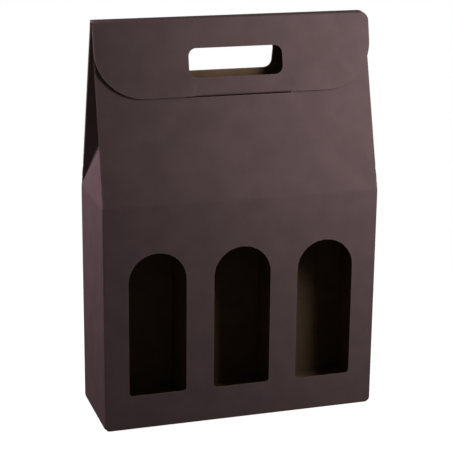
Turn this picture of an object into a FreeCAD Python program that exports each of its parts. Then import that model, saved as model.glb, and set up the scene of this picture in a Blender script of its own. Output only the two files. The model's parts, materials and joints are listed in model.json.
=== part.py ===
import FreeCAD
import Part
import math
import os

# Three-cell carrier carton with a gable top, side gussets, arched windows and a tuck-in lid.
# Millimetres. The origin is on the floor under the middle of the box.
# X runs along the front, Y from the front to the back, Z up.

# Board
BOARD = 1.5             # thickness of the micro-corrugated board
FOLD_EXTRA = 0.02       # how far a fold's round outside stands proud of the two faces
EDGE_ROUND = 1.6        # outer radius of the upright and bottom folds
INNER_ROUND = 0.4       # radius on the inside of those folds

# Body
WIDTH = 270.0           # outside, along the front
DEPTH = 90.0            # outside, front to back
HEIGHT = 385.0          # floor to the top of the ridge
SHOULDER_Z = 220.0      # height of the fold where the gable starts

# Gable
FRONT_TOP_DROP = 9.0    # the front panel ends this far below the top of the ridge
FRONT_TOP_Y = -2.15     # where its top edge stands, in front of the middle
HINGE_Y = 3.6           # where the back panel's top crease stands, behind the middle
GABLE_TAPER = 1.5       # how much narrower the gable is at the ridge, on each side
GUSSET_DROP = 37.8      # the gusset's apex lies this far below the top of the ridge
GUSSET_LEAN = 19.6      # degrees that the gusset's middle triangle leans inwards
GUSSET_TOP_GAP = 3.0    # the gusset's back fold ends this far below the lid's crease

# Windows
WINDOW_COUNT = 3
WINDOW_PITCH = 83.0
WINDOW_WIDTH = 56.0
WINDOW_FOOT_Z = 33.7
WINDOW_TOP_Z = 173.6
WINDOW_CORNER = 3.5     # radius of the two lower corners

# Handle hole, through the lid's flap, the front panel and the back panel
HANDLE_WIDTH = 91.0
HANDLE_HEIGHT = 26.5
HANDLE_DROP = 27.5      # the hole starts this far below the top of the ridge
HANDLE_CORNER = 7.5
HANDLE_MARGIN = 2.5     # how much larger the hole in the hidden front panel is all round

# Lid
RIDGE_DEPTH = 11.0      # back crease to front crease, across the top
RIDGE_DROP = 1.0        # how much lower the front crease lies
FLAP_DROP = 71.3        # the flap's lower edge lies this far below the top of the ridge
FLAP_CORNER = 45.0      # radius of the flap's two lower corners
FLAP_STANDOFF = 2.0     # air between the flap's lower edge and the front panel
CREASE_GAP = 0.3        # running gap at the lid's back crease
CREASE_BEVEL = 35.0     # degrees by which the back panel's top end is crushed back

# Tongue
TONGUE_WIDTH = 93.0
TONGUE_SHIFT = 6.0      # the tongue's middle stands this far to the right
TONGUE_REACH = 8.0      # how far the tongue goes in past the panel's outer face
TONGUE_CORNER = 6.0     # chamfer of the tongue's two free corners
TONGUE_DROP = 70.6      # the tongue lies this far below the top of the ridge
STRIP_GAP = 0.35        # air between the drawn-in strip's end and the front panel
STRIP_TOP_GAP = 1.2     # band of flap left between the handle hole and the drawn-in strip
STRIP_LEFT_BLEND = 3.0  # width of the folded facet at the strip's left side
STRIP_RIGHT_BLEND = 9.0 # width of the folded facet at its right side
SLOT_GAP = 0.9          # air above and below the tongue in its slot
SLOT_CORNER = 1.0       # radius of the slot's corners
SLOT_SIDE_LEFT = 8.0    # spare length of the slot left of the tongue
SLOT_SIDE_RIGHT = 1.5   # spare length of the slot right of the tongue

# Bottom and glue seam
SEAM_GAP = 0.8          # gap where the front and back bottom flaps meet
HOOK_WIDTH = 110.0      # width of the middle part where the front flap reaches further
HOOK_REACH = 16.0       # how far it reaches past the middle
GLUE_TAB = 25.0         # width of the glue tab inside the back wall
GLUE_TAB_INSET = 5.0    # the tab ends this far from the bottom and the shoulder

# Divider
CELL_COUNT = 3
DIVIDER_HEIGHT = 195.0
DIVIDER_GAP = 0.5       # air between the divider and the front and back walls
DIVIDER_SLOPE = 20.0    # the partitions' front top corners are cut back this far
FLAP_TO_DIVIDER = 2.0   # the inner bottom flaps end this far from the partitions

HALF = BOARD / 2.0
ROD = HALF + FOLD_EXTRA
MID_X = WIDTH / 2.0 - HALF
MID_Y = DEPTH / 2.0 - HALF
INNER_X = WIDTH / 2.0 - BOARD
INNER_Y = DEPTH / 2.0 - BOARD
HINGE_Z = HEIGHT - HALF
FRONT_TOP_Z = HEIGHT - FRONT_TOP_DROP
HANDLE_HIGH_Z = HEIGHT - HANDLE_DROP
HANDLE_LOW_Z = HANDLE_HIGH_Z - HANDLE_HEIGHT
FLAP_END_Z = HEIGHT - FLAP_DROP
CUT_REACH = 4.0 * BOARD
RIDGE_HALF = WIDTH / 2.0 - GABLE_TAPER
TAPER_RATE = GABLE_TAPER / (HEIGHT - SHOULDER_Z)


def vec(x, y, z):
    return FreeCAD.Vector(x, y, z)


def tan_deg(angle):
    return math.tan(math.radians(angle))


def cos_deg(angle):
    return math.cos(math.radians(angle))


def sin_deg(angle):
    return math.sin(math.radians(angle))


def gable_mid_x(z):
    # Half width of the gable's middle surface at a height: it narrows evenly to the ridge.
    return MID_X - TAPER_RATE * (z - SHOULDER_Z)


def fuse(shapes):
    joined = shapes[0]
    for shape in shapes[1:]:
        joined = joined.fuse(shape)
    return joined.removeSplitter()


def rounded_outline(corners):
    # Closed wire through (x, y, radius) corners in the XY plane, with an arc at each radius.
    count = len(corners)
    points = [vec(x, y, 0.0) for x, y, radius in corners]
    stretches = []
    for i in range(count):
        corner = points[i]
        radius = corners[i][2]
        back = (points[i - 1] - corner).normalize()
        ahead = (points[(i + 1) % count] - corner).normalize()
        if radius <= 0.0:
            stretches.append((corner, None, corner))
            continue
        half_angle = back.getAngle(ahead) / 2.0
        start = corner + back * (radius / math.tan(half_angle))
        end = corner + ahead * (radius / math.tan(half_angle))
        inward = (back + ahead).normalize()
        middle = corner + inward * (radius / math.sin(half_angle) - radius)
        stretches.append((start, middle, end))
    edges = []
    for i in range(count):
        start, middle, end = stretches[i]
        if middle is not None:
            edges.append(Part.Arc(start, middle, end).toShape())
        following = stretches[(i + 1) % count][0]
        if (following - end).Length > 1e-6:
            edges.append(Part.LineSegment(end, following).toShape())
    return Part.Wire(edges)


def rectangle(left, right, low, high, radius=0.0):
    return rounded_outline([
        (left, low, radius),
        (right, low, radius),
        (right, high, radius),
        (left, high, radius),
    ])


class Panel:
    """A flat panel of board.

    The origin lies on its middle surface. Local x runs along the panel, local y up it,
    and local z out of its face.
    """

    def __init__(self, origin, along, up):
        self.origin = origin
        self.along = vec(*along).normalize()
        self.up = vec(*up).normalize()
        self.out = self.along.cross(self.up)
        turn = FreeCAD.Rotation(self.along, self.up, self.out, "ZXY")
        self.placement = FreeCAD.Placement(origin, turn)

    def point(self, x, y, z=0.0):
        return self.origin + self.along * x + self.up * y + self.out * z

    def slab(self, wire, low, high):
        solid = Part.Face(wire).extrude(vec(0.0, 0.0, high - low))
        solid.translate(vec(0.0, 0.0, low))
        solid.Placement = self.placement.multiply(solid.Placement)
        return solid

    def plate(self, wire):
        return self.slab(wire, -HALF, HALF)

    def cutter(self, wire):
        return self.slab(wire, -CUT_REACH, CUT_REACH)


def plate_3d(points):
    # Plate of board whose middle surface is the flat polygon through the given points.
    wire = Part.makePolygon(points + [points[0]])
    face = Part.Face(wire)
    normal = (points[1] - points[0]).cross(points[2] - points[0]).normalize()
    face.translate(normal * -HALF)
    return face.extrude(normal * BOARD)


def rod(start, end):
    # Round outside of a fold that runs from start to end.
    return Part.makeCylinder(ROD, (end - start).Length, start, end - start)


def ball(centre):
    return Part.makeSphere(ROD + FOLD_EXTRA, centre)


# Panels of the gable. The front one runs from the shoulder to its own top edge, and the back
# one from the shoulder to the lid's crease. The leans are in degrees from upright.
FRONT_LEAN = math.degrees(math.atan2(MID_Y + FRONT_TOP_Y, FRONT_TOP_Z - SHOULDER_Z))
BACK_LEAN = math.degrees(math.atan2(MID_Y - HINGE_Y, HINGE_Z - SHOULDER_Z))
FRONT_GABLE = Panel(
    vec(0.0, -MID_Y, SHOULDER_Z),
    (1.0, 0.0, 0.0),
    (0.0, sin_deg(FRONT_LEAN), cos_deg(FRONT_LEAN)),
)
BACK_GABLE = Panel(
    vec(0.0, MID_Y, SHOULDER_Z),
    (-1.0, 0.0, 0.0),
    (0.0, -sin_deg(BACK_LEAN), cos_deg(BACK_LEAN)),
)


def front_v(z):
    # Distance up the front gable panel at a height.
    return (z - SHOULDER_Z) / cos_deg(FRONT_LEAN)


def back_v(z):
    return (z - SHOULDER_Z) / cos_deg(BACK_LEAN)


BACK_END_V = back_v(HINGE_Z) - ROD - CREASE_GAP


def gusset_apex(side):
    # Top of the gusset's middle triangle, in the box's middle plane.
    rise = HEIGHT - GUSSET_DROP - SHOULDER_Z
    return vec(side * (MID_X - rise * tan_deg(GUSSET_LEAN)), 0.0, SHOULDER_Z + rise)


# The lid's flap: its middle surface runs from the front crease of the ridge strip down to a
# line in front of the front panel.
RIDGE_FRONT = vec(0.0, HINGE_Y - RIDGE_DEPTH, HINGE_Z - RIDGE_DROP)
FLAP_END = (
    FRONT_GABLE.point(0.0, front_v(FLAP_END_Z), HALF + FLAP_STANDOFF + HALF)
)
FLAP = Panel(RIDGE_FRONT, (1.0, 0.0, 0.0), tuple(RIDGE_FRONT - FLAP_END))
FLAP_LENGTH = (RIDGE_FRONT - FLAP_END).Length
FLAP_RATE = FLAP.up.z


def flap_v(z):
    # Distance along the flap at a height, negative below the ridge's front crease.
    return (z - RIDGE_FRONT.z) / FLAP_RATE


# The drawn-in strip under the handle hole ends close to the front panel, and the tongue goes
# in from there, square to that panel.
STRIP_TOP_V = flap_v(HANDLE_LOW_Z) - STRIP_TOP_GAP
STRIP_LEFT = TONGUE_SHIFT - TONGUE_WIDTH / 2.0
STRIP_RIGHT = TONGUE_SHIFT + TONGUE_WIDTH / 2.0
TONGUE_V = front_v(HEIGHT - TONGUE_DROP)
TONGUE_ROOT_OUT = HALF + STRIP_GAP + HALF


def window_outline(centre_x):
    radius = WINDOW_WIDTH / 2.0
    left = centre_x - radius
    right = centre_x + radius
    return rounded_outline([
        (left, WINDOW_FOOT_Z, WINDOW_CORNER),
        (right, WINDOW_FOOT_Z, WINDOW_CORNER),
        (right, WINDOW_TOP_Z, radius),
        (left, WINDOW_TOP_Z, radius),
    ])


def window_centres():
    first = -WINDOW_PITCH * (WINDOW_COUNT - 1) / 2.0
    return [first + WINDOW_PITCH * i for i in range(WINDOW_COUNT)]


def handle_outline(low, high, margin=0.0):
    half = HANDLE_WIDTH / 2.0 + margin
    return rectangle(-half, half, low - margin, high + margin, HANDLE_CORNER + margin)


def round_edges(box, low_z, radius):
    # Rounds the four upright edges of a box and the four along its foot.
    chosen = []
    for edge in box.Edges:
        first = edge.Vertexes[0].Point
        last = edge.Vertexes[1].Point
        upright = abs(first.z - last.z) > radius
        foot = abs(first.z - low_z) < 1e-6 and abs(last.z - low_z) < 1e-6
        if upright or foot:
            chosen.append(edge)
    return box.makeFillet(radius, chosen)


def tube():
    # Walls and outer bottom layer up to the shoulder.
    outer = Part.makeBox(WIDTH, DEPTH, SHOULDER_Z, vec(-WIDTH / 2.0, -DEPTH / 2.0, 0.0))
    outer = round_edges(outer, 0.0, EDGE_ROUND)
    inner = Part.makeBox(
        2.0 * INNER_X,
        2.0 * INNER_Y,
        SHOULDER_Z,
        vec(-INNER_X, -INNER_Y, BOARD),
    )
    inner = round_edges(inner, BOARD, INNER_ROUND)
    return outer.cut(inner)


def bottom_seam():
    # Gap between the outer bottom flaps: straight at the ends, and further back in the
    # middle, where the front flap hooks over.
    half_hook = HOOK_WIDTH / 2.0
    path = [
        (-INNER_X, 0.0),
        (-half_hook, 0.0),
        (-half_hook + HOOK_REACH, HOOK_REACH),
        (half_hook - HOOK_REACH, HOOK_REACH),
        (half_hook, 0.0),
        (INNER_X, 0.0),
    ]
    lower = [(x, y - SEAM_GAP / 2.0, 0.0) for x, y in path]
    upper = [(x, y + SEAM_GAP / 2.0, 0.0) for x, y in reversed(path)]
    face = Part.Face(rounded_outline(lower + upper))
    gap = face.extrude(vec(0.0, 0.0, 2.0 * BOARD))
    gap.translate(vec(0.0, 0.0, -BOARD))
    return gap


def partition_x():
    # Middle planes of the partitions: equal cells between the side walls.
    cell = (2.0 * INNER_X - (CELL_COUNT - 1) * BOARD) / CELL_COUNT
    return [-INNER_X + cell * i + BOARD * (i - 0.5) for i in range(1, CELL_COUNT)]


def inner_bottom_flaps():
    # Two end flaps, glued on top of the outer layer and ending beside the partitions.
    end = max(abs(x) for x in partition_x()) + HALF + FLAP_TO_DIVIDER
    flaps = []
    for side in (-1, 1):
        low = min(side * end, side * (INNER_X + HALF))
        flaps.append(Part.makeBox(
            INNER_X + HALF - end,
            2.0 * MID_Y,
            BOARD,
            vec(low, -MID_Y, BOARD),
        ))
    return flaps


def glue_tab():
    low = BOARD + BOARD + GLUE_TAB_INSET
    return Part.makeBox(
        GLUE_TAB,
        BOARD + HALF,
        SHOULDER_Z - GLUE_TAB_INSET - low,
        vec(INNER_X + HALF - GLUE_TAB, INNER_Y - BOARD, low),
    )


def gable_plate(panel, top_v):
    # One sloping panel, narrowing evenly towards the ridge.
    rate = TAPER_RATE * panel.up.z
    return panel.plate(rounded_outline([
        (-MID_X, 0.0, 0.0),
        (MID_X, 0.0, 0.0),
        (MID_X - rate * top_v, top_v, 0.0),
        (-MID_X + rate * top_v, top_v, 0.0),
    ]))


def tongue_slot():
    # Slot in the front panel, taller than the board so that the tongue can swing out.
    half = HALF + SLOT_GAP
    return FRONT_GABLE.cutter(rectangle(
        STRIP_LEFT - SLOT_SIDE_LEFT,
        STRIP_RIGHT + SLOT_SIDE_RIGHT,
        TONGUE_V - half,
        TONGUE_V + half,
        SLOT_CORNER,
    ))


def front_gable():
    plate = gable_plate(FRONT_GABLE, front_v(FRONT_TOP_Z))
    hole = handle_outline(front_v(HANDLE_LOW_Z), front_v(HANDLE_HIGH_Z), HANDLE_MARGIN)
    return plate.cut(FRONT_GABLE.cutter(hole)).cut(tongue_slot())


def crease_wedge():
    # Takes the outer corner off the back panel's top end, where the crease is crushed.
    reach = CUT_REACH
    drop = BOARD * tan_deg(CREASE_BEVEL)
    points = [
        BACK_GABLE.point(-WIDTH, BACK_END_V, -HALF),
        BACK_GABLE.point(-WIDTH, BACK_END_V - drop, HALF),
        BACK_GABLE.point(-WIDTH, BACK_END_V - drop, HALF + reach),
        BACK_GABLE.point(-WIDTH, BACK_END_V + reach, HALF + reach),
        BACK_GABLE.point(-WIDTH, BACK_END_V + reach, -HALF - reach),
        BACK_GABLE.point(-WIDTH, BACK_END_V, -HALF - reach),
    ]
    face = Part.Face(Part.makePolygon(points + [points[0]]))
    return face.extrude(BACK_GABLE.along * (2.0 * WIDTH))


def back_gable():
    plate = gable_plate(BACK_GABLE, BACK_END_V)
    hole = handle_outline(back_v(HANDLE_LOW_Z), back_v(HANDLE_HIGH_Z))
    return plate.cut(BACK_GABLE.cutter(hole))


def gusset(side):
    # Middle triangle, and one triangle to each gable panel, which meet at the apex.
    front_foot = vec(side * MID_X, -MID_Y, SHOULDER_Z)
    back_foot = vec(side * MID_X, MID_Y, SHOULDER_Z)
    apex = gusset_apex(side)
    front_top = FRONT_GABLE.point(side * gable_mid_x(FRONT_TOP_Z), front_v(FRONT_TOP_Z))
    back_top = BACK_GABLE.point(
        -side * gable_mid_x(HINGE_Z - GUSSET_TOP_GAP),
        BACK_END_V - GUSSET_TOP_GAP,
    )
    shapes = [
        plate_3d([front_foot, back_foot, apex]),
        plate_3d([front_foot, apex, front_top]),
        plate_3d([back_foot, apex, back_top]),
        rod(front_foot, back_foot),
        rod(front_foot, apex),
        rod(back_foot, apex),
        rod(front_foot, front_top),
        rod(back_foot, back_top),
    ]
    shapes += [ball(point) for point in (front_foot, back_foot, apex)]
    return shapes


def shoulder_folds():
    return [
        rod(vec(-MID_X, y, SHOULDER_Z), vec(MID_X, y, SHOULDER_Z))
        for y in (-MID_Y, MID_Y)
    ]


def make_carton():
    walls = tube().cut(bottom_seam())
    front_wall = Panel(vec(0.0, -MID_Y, 0.0), (1.0, 0.0, 0.0), (0.0, 0.0, 1.0))
    for centre_x in window_centres():
        walls = walls.cut(front_wall.cutter(window_outline(centre_x)))
    shapes = [walls, glue_tab(), front_gable(), back_gable()]
    shapes += inner_bottom_flaps()
    shapes += shoulder_folds()
    shapes += gusset(-1)
    shapes += gusset(1)
    return fuse(shapes).cut(crease_wedge())


def flap_plate():
    # The flap, with the corners below the strip's folded facets taken away.
    half = RIDGE_HALF
    plate = FLAP.plate(rounded_outline([
        (-half, 0.0, 0.0),
        (-half, -FLAP_LENGTH, FLAP_CORNER),
        (half, -FLAP_LENGTH, FLAP_CORNER),
        (half, 0.0, 0.0),
    ]))
    hole = FLAP.cutter(handle_outline(flap_v(HANDLE_LOW_Z), flap_v(HANDLE_HIGH_Z)))
    drawn_in = FLAP.cutter(rounded_outline([
        (STRIP_LEFT - STRIP_LEFT_BLEND, -2.0 * FLAP_LENGTH, 0.0),
        (STRIP_RIGHT + STRIP_RIGHT_BLEND, -2.0 * FLAP_LENGTH, 0.0),
        (STRIP_RIGHT + STRIP_RIGHT_BLEND, -FLAP_LENGTH, 0.0),
        (STRIP_RIGHT, STRIP_TOP_V, 0.0),
        (STRIP_LEFT, STRIP_TOP_V, 0.0),
        (STRIP_LEFT - STRIP_LEFT_BLEND, -FLAP_LENGTH, 0.0),
    ]))
    return plate.cut(hole).cut(drawn_in)


def tongue_strip():
    # The strip under the handle hole, folded inwards along its top, with a facet each side,
    # and the tongue that turns in from its lower edge.
    top_left = FLAP.point(STRIP_LEFT, STRIP_TOP_V)
    top_right = FLAP.point(STRIP_RIGHT, STRIP_TOP_V)
    root_left = FRONT_GABLE.point(STRIP_LEFT, TONGUE_V, TONGUE_ROOT_OUT)
    root_right = FRONT_GABLE.point(STRIP_RIGHT, TONGUE_V, TONGUE_ROOT_OUT)
    wing_left = FLAP.point(STRIP_LEFT - STRIP_LEFT_BLEND, -FLAP_LENGTH)
    wing_right = FLAP.point(STRIP_RIGHT + STRIP_RIGHT_BLEND, -FLAP_LENGTH)
    shapes = [
        plate_3d([top_left, root_left, root_right, top_right]),
        plate_3d([top_left, wing_left, root_left]),
        plate_3d([top_right, root_right, wing_right]),
        rod(top_left, top_right),
        rod(root_left, root_right),
        rod(top_left, wing_left),
        rod(top_right, wing_right),
        rod(top_left, root_left),
        rod(top_right, root_right),
        ball(top_left),
        ball(top_right),
        ball(root_left),
        ball(root_right),
    ]
    return shapes + [tongue()]


def tongue():
    # Lies square to the front panel, pointing in, with its free corners chamfered.
    end_out = HALF - TONGUE_REACH
    root = FRONT_GABLE.point(0.0, TONGUE_V, 0.0)
    panel = Panel(root, (1.0, 0.0, 0.0), tuple(FRONT_GABLE.out))
    return panel.plate(rounded_outline([
        (STRIP_LEFT, TONGUE_ROOT_OUT, 0.0),
        (STRIP_LEFT, end_out + TONGUE_CORNER, 0.0),
        (STRIP_LEFT + TONGUE_CORNER, end_out, 0.0),
        (STRIP_RIGHT - TONGUE_CORNER, end_out, 0.0),
        (STRIP_RIGHT, end_out + TONGUE_CORNER, 0.0),
        (STRIP_RIGHT, TONGUE_ROOT_OUT, 0.0),
    ]))


def ridge_strip():
    back_left = vec(-RIDGE_HALF, HINGE_Y, HINGE_Z)
    back_right = vec(RIDGE_HALF, HINGE_Y, HINGE_Z)
    front_left = RIDGE_FRONT + vec(-RIDGE_HALF, 0.0, 0.0)
    front_right = RIDGE_FRONT + vec(RIDGE_HALF, 0.0, 0.0)
    return [
        plate_3d([back_left, front_left, front_right, back_right]),
        rod(back_left, back_right),
        rod(front_left, front_right),
    ]


def make_lid():
    return fuse([flap_plate()] + ridge_strip() + tongue_strip())


def make_divider():
    # One folded sheet: a strip along the back wall joins two partitions.
    low = BOARD
    back_mid_y = INNER_Y - DIVIDER_GAP - HALF
    places = partition_x()
    shapes = []
    for x in places:
        panel = Panel(vec(x, back_mid_y, low), (0.0, -1.0, 0.0), (0.0, 0.0, 1.0))
        length = back_mid_y + INNER_Y - DIVIDER_GAP
        shapes.append(panel.plate(rounded_outline([
            (0.0, 0.0, 0.0),
            (length, 0.0, 0.0),
            (length, DIVIDER_HEIGHT - DIVIDER_SLOPE, 0.0),
            (length - DIVIDER_SLOPE, DIVIDER_HEIGHT, 0.0),
            (0.0, DIVIDER_HEIGHT, 0.0),
        ])))
    for left, right in zip(places[:-1], places[1:]):
        shapes.append(Part.makeBox(
            right - left,
            BOARD,
            DIVIDER_HEIGHT,
            vec(left, back_mid_y - HALF, low),
        ))
    for x in places:
        shapes.append(Part.makeCylinder(HALF, DIVIDER_HEIGHT, vec(x, back_mid_y, low)))
    return fuse(shapes)


def main():
    os.makedirs("parts", exist_ok=True)
    nodes = {
        "carton": make_carton(),
        "lid": make_lid(),
        "divider": make_divider(),
    }
    for name, shape in nodes.items():
        print(name, shape.ShapeType, "solids", len(shape.Solids), "valid", shape.isValid(),
              "volume", round(shape.Volume, 1), "box", shape.BoundBox)
        shape.exportStep("parts/" + name + ".step")


main()
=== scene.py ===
"""Dresses a three-cell carrier carton with a gable top, windows and a tuck-in lid.

Lengths are in metres. X runs along the front, Y from the front to the back and Z up. Each
piece is one folded sheet of board: its middle surface is worked out as grids of points, and
then gets the board's thickness, a kraft inner face and cut edges.
"""
import json
import logging
import math
from dataclasses import dataclass, field
from enum import Enum
from typing import Callable

import bpy
import numpy as np
from mathutils import Matrix, Vector

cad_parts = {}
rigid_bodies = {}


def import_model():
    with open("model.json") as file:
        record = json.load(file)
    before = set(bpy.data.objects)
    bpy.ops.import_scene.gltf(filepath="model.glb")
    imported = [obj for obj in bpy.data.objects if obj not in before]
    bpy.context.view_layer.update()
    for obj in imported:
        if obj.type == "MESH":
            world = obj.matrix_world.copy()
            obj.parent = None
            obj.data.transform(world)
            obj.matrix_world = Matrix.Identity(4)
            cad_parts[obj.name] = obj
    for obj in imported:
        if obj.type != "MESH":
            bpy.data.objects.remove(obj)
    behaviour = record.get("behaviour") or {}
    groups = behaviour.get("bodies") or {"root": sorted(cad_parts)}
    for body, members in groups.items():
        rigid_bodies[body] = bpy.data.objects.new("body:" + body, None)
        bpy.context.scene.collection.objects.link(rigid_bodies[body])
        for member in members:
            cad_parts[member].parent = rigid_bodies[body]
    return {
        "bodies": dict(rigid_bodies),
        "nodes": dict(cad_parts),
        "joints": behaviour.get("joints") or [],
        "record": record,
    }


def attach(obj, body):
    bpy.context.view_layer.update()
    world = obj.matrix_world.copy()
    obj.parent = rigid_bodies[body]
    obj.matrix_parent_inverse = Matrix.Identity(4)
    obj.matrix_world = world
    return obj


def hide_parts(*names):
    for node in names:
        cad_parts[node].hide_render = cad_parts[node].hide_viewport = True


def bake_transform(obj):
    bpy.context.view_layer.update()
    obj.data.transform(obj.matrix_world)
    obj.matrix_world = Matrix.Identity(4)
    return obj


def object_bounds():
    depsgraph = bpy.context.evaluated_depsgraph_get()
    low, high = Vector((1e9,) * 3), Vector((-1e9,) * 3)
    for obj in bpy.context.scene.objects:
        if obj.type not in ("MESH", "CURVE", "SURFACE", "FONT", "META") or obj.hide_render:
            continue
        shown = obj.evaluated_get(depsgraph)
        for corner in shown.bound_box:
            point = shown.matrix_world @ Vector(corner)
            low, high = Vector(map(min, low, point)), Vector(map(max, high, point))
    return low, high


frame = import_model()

CAD_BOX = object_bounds()
MM = 0.001
TINY = 1e-12                        # in place of a length of nothing, to divide by
SPECK = 1e-6                        # a length that makes no difference
WHITE = (1.0, 1.0, 1.0, 1.0)
FOLD_PROUD = 0.04 * MM              # how far the solids' folds stand proud of their walls
FOLD_LINES = np.array([0.0, 0.6, 1.3, 2.2, 3.4]) * MM   # lines of points beside a fold
RINGS = np.array([0.0, 0.05, 0.14, 0.3, 0.6])[:, None, None]    # from a hole to its cell
FOLD_TURN = np.radians([22.5, 45.0, 67.5, 90.0])        # steps round a square fold
ROUND_PUSH = 0.3                    # share of a dent's reach that leaves a corner round
SHARP_ANGLE = math.radians(35.0)    # from which an edge is shown sharp
LOG = logging.getLogger("carton")
Place = Callable[[np.ndarray, np.ndarray], np.ndarray]


class Face(Enum):
    """Which side of the board a face belongs to, as the number of its material."""

    OUTSIDE = 0
    INSIDE = 1
    CUT = 2


def unit(rows: np.ndarray) -> np.ndarray:
    """Scale each row of an array to length one."""
    return rows / np.maximum(np.linalg.norm(rows, axis=-1, keepdims=True), TINY)


def smooth_step(share: np.ndarray) -> np.ndarray:
    """Ease from 0 to 1: 3t^2 - 2t^3, held outside that range."""
    held = np.clip(share, 0.0, 1.0)
    return held * held * (3.0 - 2.0 * held)


def between(start: np.ndarray, end: np.ndarray, share: np.ndarray) -> np.ndarray:
    """Points between two rows of points: start + share (end - start)."""
    return start[:, None, :] + share[..., None] * (end - start)[:, None, :]


def gathered(*parts: np.ndarray) -> np.ndarray:
    """One grid of points or places from its coordinates, stretched to the same shape."""
    return np.stack(np.broadcast_arrays(*parts), axis=-1)


def run_along(points: np.ndarray) -> np.ndarray:
    """Distance of each point from the first, along the line through them all."""
    return np.concatenate([[0.0], np.cumsum(np.linalg.norm(np.diff(points, axis=0), axis=1))])


def spread(width: np.ndarray | float, inner: int) -> np.ndarray:
    """Share a width out, with close lines beside the folds at both ends.

    The lines by each end stand at fixed distances, which shrink in proportion where the width
    is small, and the inner lines divide what is left evenly.

    Args:
        width: Width of each row, or the only one, in metres.
        inner: Number of even lines between the two close groups.

    Returns:
        Shares from 0 to 1, one row for each width, or the only row.
    """
    wide = np.reshape(width, (-1, 1))
    offsets = FOLD_LINES * np.minimum(1.0, wide / (3.0 * FOLD_LINES[-1])) / wide
    steps = np.arange(1, inner + 1) / (inner + 1)
    last = offsets[:, -1:]
    middle = last + (1.0 - 2.0 * last) * steps
    rows = np.concatenate([offsets, middle, 1.0 - offsets[:, ::-1]], axis=1)
    return rows.reshape(*np.shape(width), -1)


def cell_around(rows: np.ndarray, columns: np.ndarray, box: tuple[float, ...],
                first: tuple[int, int] = (0, 0)) -> tuple[slice, slice]:
    """The cell of a grid that best fits a rectangle.

    Args:
        rows: Distance up the panel of each row.
        columns: Distance along the panel of each column.
        box: Left, right, lower and upper side of the rectangle.
        first: Row and column of the whole grid at which these two start.

    Returns:
        Rows and columns of the cell's points.
    """
    def span(marks: np.ndarray, start: float, end: float, offset: int) -> slice:
        """The marks nearest to a start and an end."""
        return slice(offset + int(np.abs(marks - start).argmin()),
                     offset + int(np.abs(marks - end).argmin()) + 1)

    left, right, low, high = box
    return span(rows, low, high, first[0]), span(columns, left, right, first[1])


@dataclass(frozen=True)
class Board:
    """Micro-corrugated board: two paper liners over a fluted core."""

    thickness: float = 1.5 * MM
    fold_radius: float = 0.85 * MM      # of the middle surface
    fold_reach: float = 3.2 * MM        # how far a sharp crease softens the board beside it
    bend_reach: float = 9.0 * MM        # how far a wide bend does
    scuff_reach: float = 1.1 * MM       # how far a crease's worn line reaches
    rim_wear_and_highlight_reach: float = 2.0 * MM         # how far a cut edge's paler line reaches, part wear and part painted highlight
    fold_worn: float = 0.3              # how worn a sharp crease is, from 0 to 1
    least_lean: float = 0.75            # below it a fold's outer face stands off no further

    @property
    def half(self) -> float:
        """Half of the thickness."""
        return self.thickness / 2.0


def line_gap(start: np.ndarray, end: np.ndarray, points: np.ndarray) -> np.ndarray:
    """Distance of each point from the line between two ends.

    Args:
        start: One end.
        end: The other end, which may be the same point.
        points: Rows of points.

    Returns:
        One distance for each point.
    """
    span = end - start
    share = np.clip(((points - start) @ span) / max(float(span @ span), TINY), 0.0, 1.0)
    return np.linalg.norm(points - start - share[:, None] * span, axis=1)


@dataclass(frozen=True)
class Crease:
    """A folded line of the sheet.

    The board is softened up to reach away from it, and worn has 1 for a line whose print is
    rubbed off, and 0 for a clean one.
    """

    start: np.ndarray
    end: np.ndarray
    reach: float
    worn: float

    def gap(self, points: np.ndarray) -> np.ndarray:
        """Distance of each point from the line."""
        return line_gap(self.start, self.end, points)


@dataclass(frozen=True)
class Dent:
    """A corner blunted by handling: the line from start to end moves by push.

    The board follows up to reach away. A push of ROUND_PUSH times the reach along both edges
    leaves the corner round, with the reach as its radius.
    """

    start: np.ndarray
    end: np.ndarray
    push: np.ndarray
    reach: float

    def moved(self, points: np.ndarray) -> np.ndarray:
        """Points after the push, which fades as (1 - s)^2 with the distance s reach."""
        gap = line_gap(self.start, self.end, points) / self.reach
        return points + (np.clip(1.0 - gap, 0.0, 1.0) ** 2)[:, None] * self.push


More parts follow.
